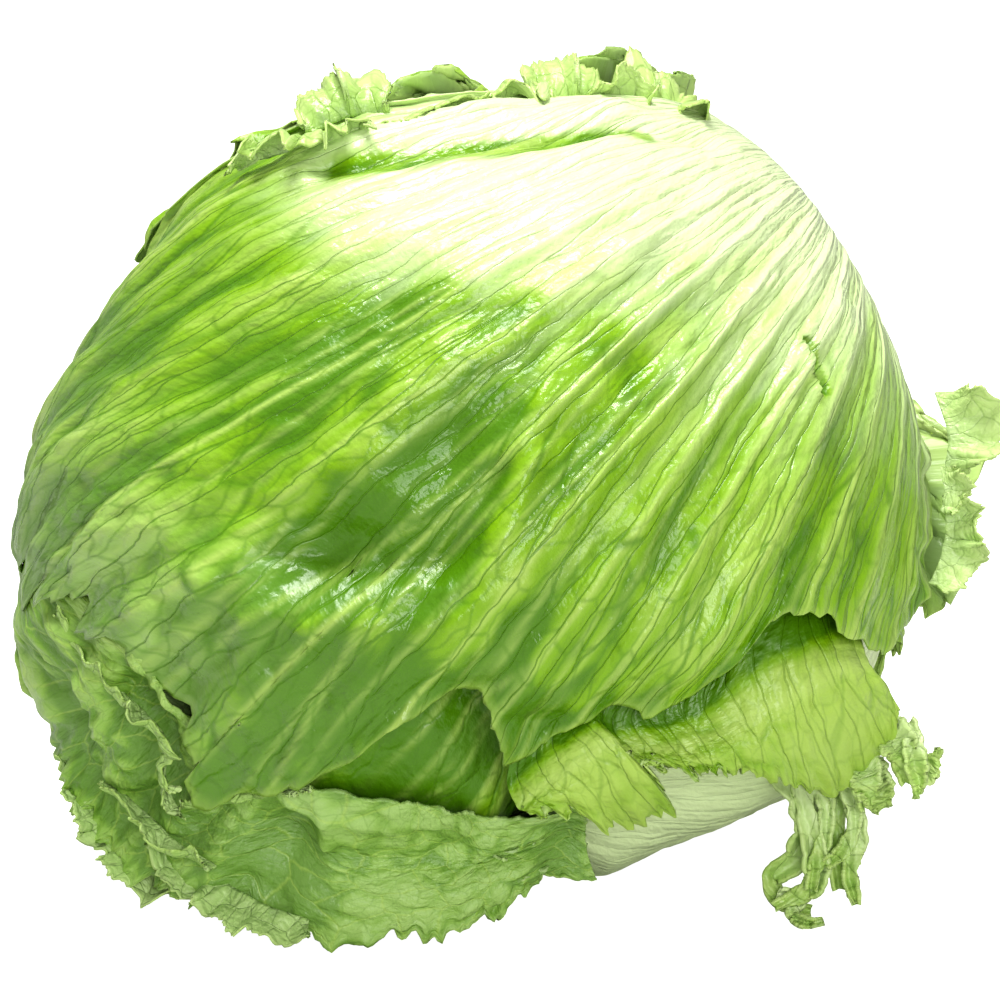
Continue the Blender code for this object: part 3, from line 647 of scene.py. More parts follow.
def leaf_material(
    name, settings, cell, small_cell, paleness=0.0, dullness=0.0, roughness=0.3, vein_depth=1.0, lines=1.0,
    vein="deep",
):
    """A leaf: pale near the stem and on its ribs, with a net of veins; painted darker green in its hollows
    and lighter on its ridges, as painted shade and painted light.

    Cell and small_cell give a net's cell width, cell length and waver in mm.
    """
    material = bpy.data.materials.new(name)
    material.use_nodes = True
    nodes = Nodes(material.node_tree)
    shader = material.node_tree.nodes["Principled BSDF"]
    where, _ = nodes.parts("leaf_place")
    _, tone = nodes.parts("leaf_tone")
    _, mark = nodes.parts("leaf_mark")
    rib, reach, shade_and_tone = tone
    dull, edge, inside = mark
    veins = use_group(
        nodes, vein_group(), Place=where, Cell_Width=cell[0], Cell_Length=cell[1], Line=0.05, Waver=cell[2]
    )
    small = use_group(
        nodes, vein_group(), Place=where, Cell_Width=small_cell[0], Cell_Length=small_cell[1], Line=0.10,
        Waver=small_cell[2],
    )
    skin = use_group(nodes, grain_group(), Place=where, Amount=1.0)
    colours = {key: (*getattr(settings, key), 1.0) for key in ("pale", "light", "green", "deep", "dull")}
    uneven = nodes.math("MULTIPLY", nodes.math("SUBTRACT", skin["Mottle"], 0.5), 2.3)
    # high follows the leaf's shade and tone with the mottle; the blends below paint its hollows deep green as
    # painted shade and its ridges light as painted light.
    high = nodes.math("ADD", shade_and_tone, uneven)
    body = nodes.blend(nodes.ramp(high, -0.8, 0.1), colours["deep"], colours["green"])
    body = nodes.blend(nodes.ramp(high, 0.0, 1.2, 0.0, 0.8), body, colours["light"])
    dull_share = nodes.math("ADD", dull, dullness, clamp=True)
    dull_share = nodes.math("MULTIPLY", dull_share, nodes.ramp(high, -0.6, 0.3, 0.45, 1.0))
    body = nodes.blend(dull_share, body, colours["dull"])
    near = nodes.ramp(nodes.math("ADD", reach, nodes.math("MULTIPLY", uneven, 0.16)), 0.54, 0.10)
    near = nodes.math("ADD", nodes.math("MULTIPLY", near, 0.95), paleness, clamp=True)
    body = nodes.blend(near, body, colours["pale"])
    white = nodes.math("MULTIPLY", rib, nodes.ramp(reach, 0.15, 0.62, 0.85, 0.14))
    body = nodes.blend(white, body, colours["pale"])
    lit = nodes.math("MULTIPLY", rib, nodes.ramp(reach, 0.3, 0.6, 0.0, 0.7))
    body = nodes.blend(lit, body, colours["light"])
    line = nodes.math("MULTIPLY", veins["Vein"], nodes.ramp(reach, 0.15, 0.62, 0.04 * lines, 0.72 * lines))
    body = nodes.blend(line, body, colours[vein])
    thin = nodes.math("MULTIPLY", small["Vein"], nodes.ramp(reach, 0.25, 0.75, 0.0, 0.42 * lines))
    body = nodes.blend(thin, body, colours["deep"])
    body = nodes.blend(nodes.math("MULTIPLY", edge, 0.35), body, colours["light"])
    body = nodes.blend(nodes.math("MULTIPLY", inside, 0.30), body, colours["pale"])
    nodes.put(shader.inputs["Base Color"], body)
    shader.inputs["Specular IOR Level"].default_value = 0.5
    dry = nodes.ramp(skin["Mottle"], 0.3, 0.75, roughness - 0.06, roughness + 0.14)
    nodes.put(shader.inputs["Roughness"], dry)
    raised = nodes.math("ADD", skin["Height"], nodes.math("MULTIPLY", small["Puff"], 0.10 * vein_depth))
    raised = nodes.math("ADD", raised, nodes.math("MULTIPLY", veins["Puff"], 0.22 * vein_depth))
    raised = nodes.math("SUBTRACT", raised, nodes.math("MULTIPLY", veins["Vein"], 0.12 * vein_depth))
    bump = nodes.add("ShaderNodeBump")
    bump.inputs["Strength"].default_value = 1.0
    bump.inputs["Distance"].default_value = MM
    nodes.put(bump.inputs["Height"], raised)
    nodes.put(shader.inputs["Normal"], bump.outputs[0])
    return material


STEM_STAIN = (0.60, 0.42, 0.20, 1.0)
STEM_FLECK = (0.86, 0.84, 0.66, 1.0)


def stem_material(settings):
    """The cut butt: a dry cream face with brown stains and pale flecks."""
    material = bpy.data.materials.new("cut stem")
    material.use_nodes = True
    nodes = Nodes(material.node_tree)
    shader = material.node_tree.nodes["Principled BSDF"]
    where = nodes.add("ShaderNodeTexCoord").outputs["Object"]
    spots = nodes.noise(where, 260.0, 4.0)
    patches = nodes.noise(where, 70.0, 3.0)
    cream = (*settings.stem, 1.0)
    body = nodes.blend(nodes.ramp(patches, 0.35, 0.7), cream, STEM_STAIN)
    body = nodes.blend(nodes.ramp(spots, 0.5, 0.8, 0.0, 0.5), body, STEM_FLECK)
    nodes.put(shader.inputs["Base Color"], body)
    nodes.put(shader.inputs["Roughness"], nodes.ramp(spots, 0.2, 0.8, 0.45, 0.75))
    bump = nodes.add("ShaderNodeBump")
    bump.inputs["Distance"].default_value = 0.0005
    nodes.put(bump.inputs["Height"], spots)
    nodes.put(shader.inputs["Normal"], bump.outputs[0])
    return material


# Leaves

FRONT_GRID = (280, 164, 1.05)
FRONT_MIDDLE = -3.0
FRONT_NARROWING = 0.24
FRONT_RIM = (
    (-70, 86), (-84, 100), (-96, 117), (-100, 132), (-97, 144), (-83, 150), (-68, 148), (-58, 148),
    (-52, 147), (-44, 149), (-28, 149), (-16, 149), (-6, 149), (0, 151), (2, 156), (11, 157),
    (14.5, 149), (18, 140), (17, 128), (18, 121), (21, 117), (28, 119.5), (34, 121), (35.6, 117.6),
    (34.4, 111.5), (35.0, 105.8), (39.2, 101), (40.6, 96), (39.6, 91), (38.0, 86.5), (37.0, 82.4),
    (39.6, 79), (48, 75.8), (56, 73), (62, 68), (68, 58), (68, 47),
)

# The green band along the fold near the top edge, painted greener and darker: partly the leaf's green, partly
# painted shade in the fold.
GREEN_BAND = (((-50, 80), (-44, 73), (-40, 64), (-35, 55), (-29, 46)), 3.4, 1.0)

# The slit's ends, its depth and the height of its lip.
TEAR = ((17, 53), (23, 57))
TEAR_DEPTH = 1.6
TEAR_LIP = 0.9


def tear_gap(way):
    """The short slit in the front leaf, as a share of 1 in the slit, and its raised lip on one side."""
    start, end = direction(*np.array(TEAR, float).T)
    run = end - start
    share = np.clip(((way - start) @ run) / (run @ run), 0.0, 1.0)
    past = (way - start - share[..., None] * run) * ARC_RADIUS
    across = past @ unit(np.cross(run, start))
    inside = bell(np.linalg.norm(past, axis=-1), 0.75)
    return inside, bell(across - 1.6, 1.1) * bell(past @ unit(run), 1.5)


def fanned_relief(settings, turn, theta, rib_turns, seed):
    """Ribs, veins and puffed blade of a fanned leaf: lift in mm, rib share, and shade and tone for the
    colour, with painted shade between the puffs and painted light on them.
    """
    across, along = turn * TURN_WIDTH, MEAN_RADIUS * np.radians(theta)
    open_blade = smooth(18, 55, theta)
    main, branch = ribs(turn, theta, rib_turns, seed)
    shaken = across + 2.5 * swells(along / 14.0, across / 14.0, seed + 3)
    coarse = cells(shaken / 10.0, along / 30.0 + 0.2 * swells(across / 9, along / 20, seed + 4), seed + 5)
    fine = cells(shaken / 4.2, along / 9.0, seed + 6)
    puff = smooth(0.0, 0.5, coarse) * 0.75 + smooth(0.0, 0.6, fine) * 0.25
    patch = 0.55 + 0.45 * rough(across / 34.0, along / 40.0, seed + 7)
    lift = settings.puff_height * open_blade * patch * (puff - 0.5)
    lift = lift + 0.5 * open_blade * rough(across / 5.0, along / 8.0, seed + 8)
    lift = lift + 0.7 * open_blade * rough(across / 15.0, along / 21.0, seed + 10)
    height = smooth(20, 48, theta) * (0.25 + 0.75 * smooth(105, 55, theta))
    lift = lift + settings.rib_height * (main * height + 0.36 * branch)
    shade_and_tone = 0.9 * (puff - 0.55) * open_blade + 0.55 * rough(across / 6.5, along / 34.0, seed + 9)
    return across, along, lift, np.clip(main + 0.55 * branch, 0, 1), shade_and_tone


# The front leaf in mm: its raised rim, how far its lower left rim is pressed down, the crumple of that end,
# and the depth of its dark hollows.
FRONT_RIM_RAISED = 0.8
FRONT_PRESSED = 2.4
FRONT_CRUMPLE = 1.9
FRONT_FINE_CRUMPLE = 0.9
PATCH_DEPTH = 0.7


def front_leaf(settings):
    """The large leaf that covers the front, its ribs fanning out from the stem."""
    s, t = sheet_grid(*FRONT_GRID)
    ragged = 0.9 + 1.7 * smooth(0.08, 0.16, s) * smooth(0.50, 0.42, s)
    phi, theta, turn = fan_leaf(FRONT_MIDDLE, FRONT_RIM, s, t, ragged, 3)
    narrowing = FRONT_NARROWING * smooth(46, 30, theta) * smooth(-15, -38, turn)
    phi = FRONT_MIDDLE + (phi - FRONT_MIDDLE) * (1.0 - narrowing)
    way = direction(phi, theta)
    folds = fold_relief(way, FOLDS) + fold_relief(way, CREASES)
    uneven = 0.65 + 0.5 * rough(turn / 9.0, theta / 26.0, 8)
    pleated = pleats(turn, theta, settings.pleat_height) * uneven
    pleated = pleated * (1.0 - 0.55 * smooth(4, 22, phi) * smooth(96, 70, theta))
    across, along, fine, rib, shade_and_tone = fanned_relief(settings, turn, theta, RIB_TURNS, 7)
    edge = rim_share(s, t, 0.16)
    seam = smooth(0.05, 0.10, s) * smooth(0.46, 0.38, s)
    pressed = seam * rim_share(s, t, 0.12)
    pucker = smooth(0.90, 0.96, s) * smooth(34, 44, theta)
    lift = soft_relief(way) + folds + pleated + fine * (1.0 - 0.5 * edge)
    lift = lift + pucker * (0.8 + 1.1 * wander(theta / 9.0 + s * 5, 5))
    lift = lift + FRONT_RIM_RAISED * rim_share(s, t, 0.06) * (1.0 - seam) - FRONT_PRESSED * pressed
    top_end = smooth(112, 146, theta) * smooth(45, 10, phi) * smooth(-120, -70, phi)
    # Towards the bottom the front leaf is painted darker: painted shade. Its folds and pleats are painted
    # darker in their hollows and lighter on their ridges: painted shade and painted light.
    lower = smooth(100, 124, theta) * smooth(-35, 0, phi)
    shade_and_tone = shade_and_tone + 0.26 * folds + 0.3 * pleated - 0.55 * top_end - 1.0 * lower
    # The slit is painted dark, as painted shade in the gap, and its raised lip lighter, as painted light.
    slit, lip = tear_gap(way)
    lift = lift + TEAR_LIP * lip - TEAR_DEPTH * slit
    shade_and_tone = shade_and_tone + 0.6 * lip - 6.0 * slit
    crumple = smooth(114, 134, theta) * smooth(30, 14, phi)
    crushed = rough(across / 4.0, along / 9.0, 9)
    fine_crushed = np.abs(rough(across / 2.4, along / 5.0, 12))
    lift = lift + crumple * (FRONT_CRUMPLE * crushed + FRONT_FINE_CRUMPLE * fine_crushed)
    # The crumples are painted darker in their hollows and lighter on their rises: painted shade and painted
    # light.
    shade_and_tone = shade_and_tone + (1.2 * crushed + 0.1) * crumple
    band = fold_relief(way, (GREEN_BAND,))
    # The crown, high on the blade, is painted paler and lighter: a painted sheen.
    crown = smooth(4, -34, phi) * smooth(-68, -46, phi) * smooth(106, 82, theta)
    reach = (theta - PALE_END) / GREEN_SPAN + 0.75 * band
    reach = reach + 0.16 * smooth(8, 38, phi) - 0.27 * crown + 0.9 * slit
    reach = np.clip(reach, 0, 1)
    shade_and_tone = shade_and_tone + 0.5 * crown
    calm = smooth(4, 22, phi) * smooth(100, 74, theta)
    patches = fold_relief(way, PATCHES)
    reach = np.clip(reach - 0.3 * patches, 0, 1)
    lift = lift + PATCH_DEPTH * patches
    shade_and_tone = shade_and_tone * (1.0 - 0.4 * calm) - 0.3 * band + 0.9 * patches
    dull = 0.28 * top_end + 0.6 * seam * rim_share(s, t, 0.22)
    marks = marks_of(across, along, 1.0, rib, reach, shade_and_tone, dull, rim_share(s, t, 0.02) * (1.0 - 0.8 * seam))
    thickness = settings.thickness / MM * (0.4 + 0.6 * (1.0 - rim_share(s, t, 0.05)))
    piece = sheet_piece("front_leaf_blade", place(way, lift), marks, thickness)
    material = leaf_material("front leaf", settings, (3.4, 44.0, 1.2), (3.0, 9.0, 1.6), roughness=0.28)
    return dress(piece, material, "outer_leaf", "front_leaf")


INNER_GRID = (110, 90)
INNER_MIDDLE = 8.0
INNER_LIFT = -12.2
INNER_RISE = 6.6
INNER_SHADE = 0.9
INNER_RIM = (
    (-25, 112), (-22, 126), (0, 139), (9, 148), (19, 152), (31, 153), (42, 148),
    (50, 138), (54, 128), (51, 119), (44, 110), (35, 98), (28, 80),
)


def inner_leaf(settings):
    """The next leaf in, seen in shade under the lower edge of the front leaf."""
    s, t = sheet_grid(*INNER_GRID)
    phi, theta, turn = fan_leaf(INNER_MIDDLE, INNER_RIM, s, t, 0.5, 11)
    way = direction(phi, theta)
    near = smooth(121, 130, theta)
    across, along, fine, rib, shade_and_tone = fanned_relief(settings, turn, theta, RIB_TURNS, 17)
    lift = INNER_LIFT + near * (INNER_RISE + soft_relief(way) + fold_relief(way, FOLDS) + fine)
    reach = np.clip((theta - PALE_END) / GREEN_SPAN, 0, 1)
    # INNER_SHADE darkens the whole inner leaf's colour: painted shade under the front leaf's edge.
    marks = marks_of(across, along, 2.0, rib, reach, shade_and_tone - INNER_SHADE, 0.0, 0.0)
    thickness = settings.thickness / MM * np.ones(s.shape)
    piece = sheet_piece("inner_leaf_blade", place(way, lift), marks, thickness)
    material = leaf_material("inner leaf", settings, (8.0, 22.0, 2.5), (3.2, 5.0, 1.5), roughness=0.36)
    return dress(piece, material, "inner_leaf", "inner_leaf")


# Lines of the wrapping leaf, from the stem round the top end to the front: upper edge, middle, lower edge.
WRAP_LINES = (
    (
        (-50, 14, -5.8), (-52, 55, -8), (-58, 95, -8), (-72, 126, -6.5), (-76, 142, -4.6), (-34, 147, -4.2),
        (-19, 149, -4), (-7, 151, -4), (7, 152, -4), (15, 147, -3.8), (31, 137, -2.6), (39, 132, -2.6),
        (47, 128, -2.6), (52, 116, -2.8),
    ),
    (
        (-85, 14, -5.8), (-86, 55, -5.8), (-88, 92, -5.8), (-92, 128, -4), (-80, 148, -2.8), (-37, 153, -2.6),
        (-22, 156, -2.6), (-7, 159, -2), (13, 160, -2), (25, 155, -1.8), (43, 144, -1.5), (50, 135, -1.5),
        (54, 128, -1.5), (58, 117, -2.2),
    ),
    (
        (-125, 14, -5.8), (-124, 55, -5.8), (-122, 92, -5.8), (-116, 130, -4.2), (-92, 152, -2.4),
        (-50, 160, -2), (-34, 165, -1.6), (-7, 168, 0.5), (19, 164, 3.2), (31, 157, 4), (47, 146, 4.5),
        (53, 135, 4.5), (55, 127, 3.3), (61, 118, 1.6),
    ),
    (
        (-172, 14, -5.8), (-170, 55, -5.8), (-163, 92, -5.8), (-140, 132, -5), (-112, 151, -1.5),
        (-103, 165, -2), (-69, 172, 0.5), (-7, 175, 5), (31, 168, 7.8), (42, 160, 9), (55, 148, 10),
        (59, 136, 9.4), (59, 127, 6.6), (64, 118, 4.6),
    ),
)
# Folds that only the finished wrapping leaf shows: points (phi, theta), half width and height in mm.
WRAP_FOLDS = (
    (((-46, 168.6), (-30, 170)), 4.5, -2.8),
    (((-24, 153), (-15, 156), (-7, 160)), 4.2, -4.0),
    (((-28, 149), (-20, 150), (-14, 150.5), (-9, 153), (-1, 158)), 2.0, 2.0),
    (((-5, 168), (-2, 163), (0, 159)), 2.2, -2.4),
    (((29, 150), (34, 153)), 4.0, -3.4),
    (((24, 149), (30, 146), (36, 148)), 2.2, 1.6),
    (((40, 158), (46, 156)), 3.0, -2.4),
    (((19, 143), (28, 145), (38, 148)), 1.6, 0.9),
    (((28, 145), (36, 141), (42, 134)), 1.6, 0.7),
    (((38, 148), (34, 153), (40, 157)), 1.6, 0.7),
    (((59, 121), (63, 128)), 4.0, -2.6),
    (((71, 124), (66, 131)), 3.0, 1.8),
    (((-42, 158), (-30, 160), (-19, 167)), 4.0, 1.6),
    (((-60, 160), (-45, 164)), 4.0, -2.2),
    (((12, 158), (20, 163), (22, 168)), 3.0, -2.0),
)
WRAP_GRID = (100, 270)
WRAP_WIDTH = 60.0
WRAP_LENGTH = 330.0


def wrap_leaf(settings):
    """The dull leaf that comes over the top end and along the bottom, with a toothed lower edge."""
    s, t = sheet_grid(*WRAP_GRID)
    # The rows stand closer towards the tip.
    t = 1.0 - (1.0 - t) * (0.62 + 0.38 * (1.0 - t))
    way, lift = lines_leaf(WRAP_LINES, s, t)
    _, theta = angles(way)
    across, along = s * WRAP_WIDTH, t * WRAP_LENGTH
    folds = fold_relief(way, FOLDS) * smooth(120, 136, theta) + fold_relief(way, WRAP_FOLDS)
    net = cells(across / 9.0 + 0.4 * swells(along / 9, across / 9, 41), along / 12.0, 42)
    fine_net = cells(across / 3.6, along / 4.2, 43)
    shown = smooth(0.2, 0.35, t)
    puff = 0.85 * smooth(0.0, 0.6, net) + 0.15 * smooth(0.0, 0.7, fine_net)
    lift = lift + soft_relief(way) + folds
    lift = lift + shown * settings.puff_height * 0.5 * (puff - 0.5)
    lift = lift + shown * 1.3 * rough(across / 17.0, along / 20.0, 44)
    lift = lift + smooth(0.70, 0.45, t) * shown * 1.7 * rough(across / 7.0, along / 12.0, 47)
    rim = smooth(0.75, 1.0, s) * smooth(0.3, 0.4, t) * smooth(1.0, 0.92, t)
    lift = lift + rim * (0.6 + 1.1 * wander(t * 16, 21) + 0.8 * wander(t * 43, 24))
    lobes = 3.4 * np.abs(wander(t * 11, 22)) + 1.9 * np.abs(wander(t * 31, 25))
    lobes = lobes + 1.0 * np.abs(wander(t * 70, 26))
    push = rim * (lobes - 2.6)
    points = place(way, lift)
    points = points + unit(np.gradient(points, axis=0)) * push[..., None]
    points[..., 2] = np.maximum(points[..., 2], 0.15)
    upper = smooth(0.70, 0.45, t)
    crease = rough(across / 7.0, along / 12.0, 47)
    # The wrapping leaf's folds and creases are painted darker in their hollows and lighter on their rises:
    # painted shade and painted light, with random tone.
    shade_and_tone = 0.9 * (puff - 0.6) + 0.38 * folds + 0.4 * rough(across / 20.0, along / 22.0, 45)
    shade_and_tone = shade_and_tone + (0.35 + 0.5 * upper) * crease
    dull = 0.85 - 0.3 * upper + 0.15 * rough(across / 25.0, along / 40.0, 46)
    marks = marks_of(across, along, 3.0, 0.0, 0.75, shade_and_tone, dull, smooth(0.985, 1.0, s))
    thickness = settings.thickness / MM * (0.4 + 0.6 * smooth(1.0, 0.9, s))
    piece = sheet_piece("wrap_leaf_blade", points, marks, thickness)
    material = leaf_material(
        "wrap leaf", settings, (10.0, 14.0, 2.5), (3.4, 4.2, 1.2), roughness=0.38, vein_depth=0.5, lines=0.55,
        vein="light",
    )
    return dress(piece, material, "dull_leaf", "wrap_leaf")


# Lines of the side leaf, from the stem under the front leaf to its foot, over the crest of the fold and out
# to the torn rim. Each line starts with PHI at its first two points, which lie deep under the front leaf.
SIDE_HIDDEN_THETA = (14, 49)
SIDE_HIDDEN_LIFT = -8.0
SIDE_LINES = (
    (14, 17, (20, 80, -8.4), (26, 107, -8.6), (37, 121.5, -5),
     (41.5, 122.8, 0), (42.3, 121.6, 1.8), (43.6, 120.6, 2.3)),
    (17, 20, (23, 80, -8.4), (28, 104, -8.6), (36, 117, -5),
     (39.6, 117.8, 0), (42, 117.2, 2.2), (45.8, 116.6, 2.8)),
    (19, 22, (25, 78, -8.4), (30, 100, -8.6), (35.3, 112, -5),
     (38.3, 112.4, 0.3), (43.5, 112.3, 3.3), (53.3, 112.4, 3.5)),
    (21, 24, (27, 76, -8.4), (32, 96, -8.6), (34.8, 107, -5),
     (37.9, 107.4, 0.7), (43, 106.6, 4), (54.2, 105.7, 4.2)),
    (23, 26, (29, 75, -8.4), (34, 94, -8.6), (38, 106, -5),
     (41.2, 106.6, 0.2), (42.6, 106.2, 2.6), (44.2, 105.6, 3.4)),
    (25, 28, (31, 74, -8.4), (36, 91, -8.6), (39.8, 102.2, -5),
     (43.3, 103.4, 0.3), (44.6, 103, 3.2), (46.4, 102.4, 4)),
    (27, 30, (33, 72, -8.4), (38, 88, -8.6), (42.2, 98, -5),
     (45.4, 99.3, 0.6), (47, 99.4, 3.8), (49.6, 99.5, 4.8)),
    (30, 33, (36, 70, -8.2), (40, 83, -8.2), (43, 93, -4.8),
     (46, 94.8, 1), (48, 95.4, 4.6), (51.6, 96.1, 5.5)),
    (33, 37, (39, 68, -8), (40.5, 78, -7.2), (42, 86.6, -4.6),
     (46.2, 89.5, 1.6), (50.5, 91.2, 5.4), (58.1, 92.2, 6.5)),
    (36, 40, (42, 65, -8), (42.5, 74, -7), (43.8, 79.6, -3.6),
     (47.2, 84.2, 2.2), (53.6, 86.6, 6.2), (65.8, 87.5, 8)),
    (42, 46, (48, 60, -7.6), (48, 69, -6.4), (48, 74.6, -3.4),
     (50, 79, 2.4), (56, 80.8, 6.2), (65.5, 81.6, 8)),
    (50, 54, (56, 56, -7.4), (55, 65, -6), (54.2, 70.6, -3.4),
     (54.4, 75.2, 2.2), (57.5, 76, 5.6), (61.5, 76.6, 8)),
)
SIDE_GRID = (200, 130, 1.25)
SIDE_CREST = 5.1 / 7.0
SIDE_WIDTH = 62.0
SIDE_LENGTH = 70.0


def side_leaf(settings):
    """The bright leaf at the lower right, folded out over a crest, with a torn rim."""
    s, t = sheet_grid(*SIDE_GRID)
    lines = []
    for line in SIDE_LINES:
        hidden = [(phi, theta, SIDE_HIDDEN_LIFT) for phi, theta in zip(line[:2], SIDE_HIDDEN_THETA)]
        lines.append((*hidden, *line[2:]))
    way, lift = lines_leaf(lines, s, t)
    across, along = s * SIDE_WIDTH, t * SIDE_LENGTH
    rim = smooth(0.86, 1.0, t)
    flap = smooth(0.62, 0.72, t)
    net = cells(across / 5.0 + 0.4 * swells(along / 5, across / 5, 51), along / 8.0, 52)
    puff = smooth(0.0, 0.5, net)
    lift = lift + rim * 0.9 * wander(s * 9, 31)
    lift = lift + flap * (0.25 * (puff - 0.5) + 0.4 * rough(across / 6, along / 11, 53))
    lift = lift + rim * 0.5 * wander(s * 27, 33)
    lift = lift + 0.30 * bell(t - 0.80, 0.05) * wander(s * 34 + 2 * t, 36)
    points = place(way, lift)
    teeth = 2.0 * wander(s * 15, 32) + 1.3 * wander(s * 38, 34) + 0.8 * np.abs(wander(s * 75, 35))
    points = points + unit(np.gradient(points, axis=1)) * (rim * teeth)[..., None]
    points[..., 2] = np.maximum(points[..., 2], 0.3)
    # The crest goes in as a rib, so it is painted pale: a painted highlight along the fold. Before the crest
    # the leaf is painted dark: painted shade in the valley.
    crest = bell(t - SIDE_CREST, 0.022)
    shade_and_tone = 0.9 + 0.3 * (puff - 0.5) + 0.4 * rough(across / 8, along / 14, 54) - 1.9 * smooth(0.68, 0.6, t)
    marks = marks_of(across, along, 4.0, 0.8 * crest, 0.8, shade_and_tone, 0.0, smooth(0.975, 1.0, t))
    thickness = settings.thickness / MM * (0.4 + 0.6 * smooth(1.0, 0.9, t))
    piece = sheet_piece("side_leaf_blade", points, marks, thickness)
    material = leaf_material(
        "side leaf", settings, (3.0, 30.0, 1.0), (1.8, 6.0, 0.8), roughness=0.32, lines=0.4
    )
    return dress(piece, material, "bright_leaf", "side_leaf")


UNDER_RIM = (
    (62, 66), (58, 76), (53.5, 84), (51, 92), (50, 99), (46, 108), (50, 118), (58, 126), (66, 136),
    (78, 146), (108, 160), (150, 165), (176, 156), (186, 134), (185, 110),
)
UNDER_GRID = (150, 120)
UNDER_MIDDLE = 118.0
UNDER_SWELL = 5.2
FLAT_ANGLE = 24.0
UNDER_RIBS = tuple(range(-36, 40, 6))


def under_leaf(settings):
    """The pale leaf that the head lies on."""
    s, t = sheet_grid(*UNDER_GRID)
    phi, theta, turn = fan_leaf(UNDER_MIDDLE, UNDER_RIM, s, t, 0.4, 41)
    way = direction(phi, theta)
    from_table = np.degrees(np.arccos(-way[..., 2]))
    raised = smooth(FLAT_ANGLE, FLAT_ANGLE + 16, from_table)
    across, along, fine, rib, shade_and_tone = fanned_relief(settings, turn, theta, UNDER_RIBS, 27)
    lift = -2 * LAYER_STEP + (0.6 * soft_relief(way) + fine) * raised
    swell = smooth(64, 79, phi) * smooth(110, 98, phi) * smooth(66, 84, theta) * smooth(122, 114, theta)
    lift = lift + UNDER_SWELL * swell
    marks = marks_of(across, along, 5.0, rib, 0.3, shade_and_tone, 0.0, 0.0)
    thickness = settings.thickness / MM * np.ones(s.shape)
    piece = sheet_piece("under_leaf_blade", place(way, lift), marks, thickness)
    material = leaf_material(
        "under leaf", settings, (2.6, 40.0, 1.2), (2.0, 9.0, 1.0), paleness=1.0, vein_depth=0.5, lines=0.2
    )
    return dress(piece, material, "pale_leaf", "under_leaf")


RIGHT_RIM = (
    (73, 33), (75, 45), (77, 55), (86, 60), (98, 64), (112, 73), (126, 86), (140, 90), (150, 80),
)
RIGHT_LOBES = ((0.07, 1.0, 0.055, 13.5), (0.19, 1.0, 0.05, 8.5))
TOP_RIM = (
    (-57, 26), (-58, 45), (-62, 58), (-64, 70), (-72, 82), (-84, 97), (-97, 107), (-112, 110),
    (-125, 104), (-136, 90), (-140, 74),
)
TOP_LOBES = ((0.0, 0.9, 0.05, 5.0), (0.08, 1.0, 0.05, 5.0), (0.24, 1.0, 0.05, 3.5))
BACK_RIM = (
    (157, 72), (154, 94), (151, 110), (152, 124), (162, 136), (176, 143), (200, 141), (222, 128),
    (227, 112), (219, 96), (214, 76),
)

# The outer leaves: node, turn of its middle, rim, columns, rows, seed, curl of the rim in mm and lobes. Each
# lobe has its place across and along the leaf, its reach across and its height in mm.
OUTER_LEAVES = (
    ("right_leaf", 108.0, RIGHT_RIM, 150, 90, 51, 2.4, RIGHT_LOBES),
    ("top_leaf", -100.0, TOP_RIM, 190, 110, 61, 3.2, TOP_LOBES),
    ("back_leaf", 184.0, BACK_RIM, 140, 100, 71, 1.6, ()),
)


def outer_leaf(settings, node, middle, rim, columns, rows, seed, curl, lobes):
    """A fanned outer leaf with a waved and ragged edge; lobes are places where it curls further out."""
    s, t = sheet_grid(columns, rows, 1.25)
    s = s**1.25
    phi, theta, turn = fan_leaf(middle, rim, s, t, 2.0, seed)
    way = direction(phi, theta)
    edge = rim_share(s, t, 0.22)
    wave = wander(s * 7 + t * 3, seed + 1) + 0.35 * wander(s * 21 - t * 9, seed + 2)
    across, along, fine, rib, shade_and_tone = fanned_relief(settings, turn, theta, RIB_TURNS, seed + 3)
    pleated = pleats(turn, theta, 0.6)
    lift = -LAYER_STEP + soft_relief(way) + pleated + fine * (1.0 - 0.5 * edge)
    lift = lift + edge * (curl + 0.75 * curl * wave)
    for place_s, place_t, reach, height in lobes:
        gap = np.hypot((s - place_s) / reach, (t - place_t) / 0.14)
        lift = lift + height * np.exp(-(gap**2)) * smooth(0.0, 0.3, edge)
    reach = np.maximum(np.clip((theta - PALE_END) / OUTER_GREEN_SPAN, 0, 1), 0.7 * rim_share(s, t, 0.5))
    # The pleats are painted darker in their valleys and lighter on their ridges: painted shade and painted
    # light.
    marks = marks_of(
        across, along, float(seed), rib, reach, shade_and_tone + 0.25 * pleated, 0.0, rim_share(s, t, 0.03)
    )
    thickness = settings.thickness / MM * (0.4 + 0.6 * (1.0 - rim_share(s, t, 0.05)))
    piece = sheet_piece(f"{node}_blade", place(way, lift), marks, thickness)
    finish = node.replace("_", " ")
    material = leaf_material(finish, settings, (4.6, 30.0, 1.6), (3.0, 7.0, 1.5), roughness=0.3)
    return dress(piece, material, "outer_leaf", node)


def picture_places(points):
    """Points given as (right, up, toward) in mm, in the picture's axes from the head's centre."""
    points = np.array(points, float)
    return np.array(HEAD_CENTRE) + points[:, :1] * RIGHT + points[:, 1:2] * UP + points[:, 2:] * TOWARD


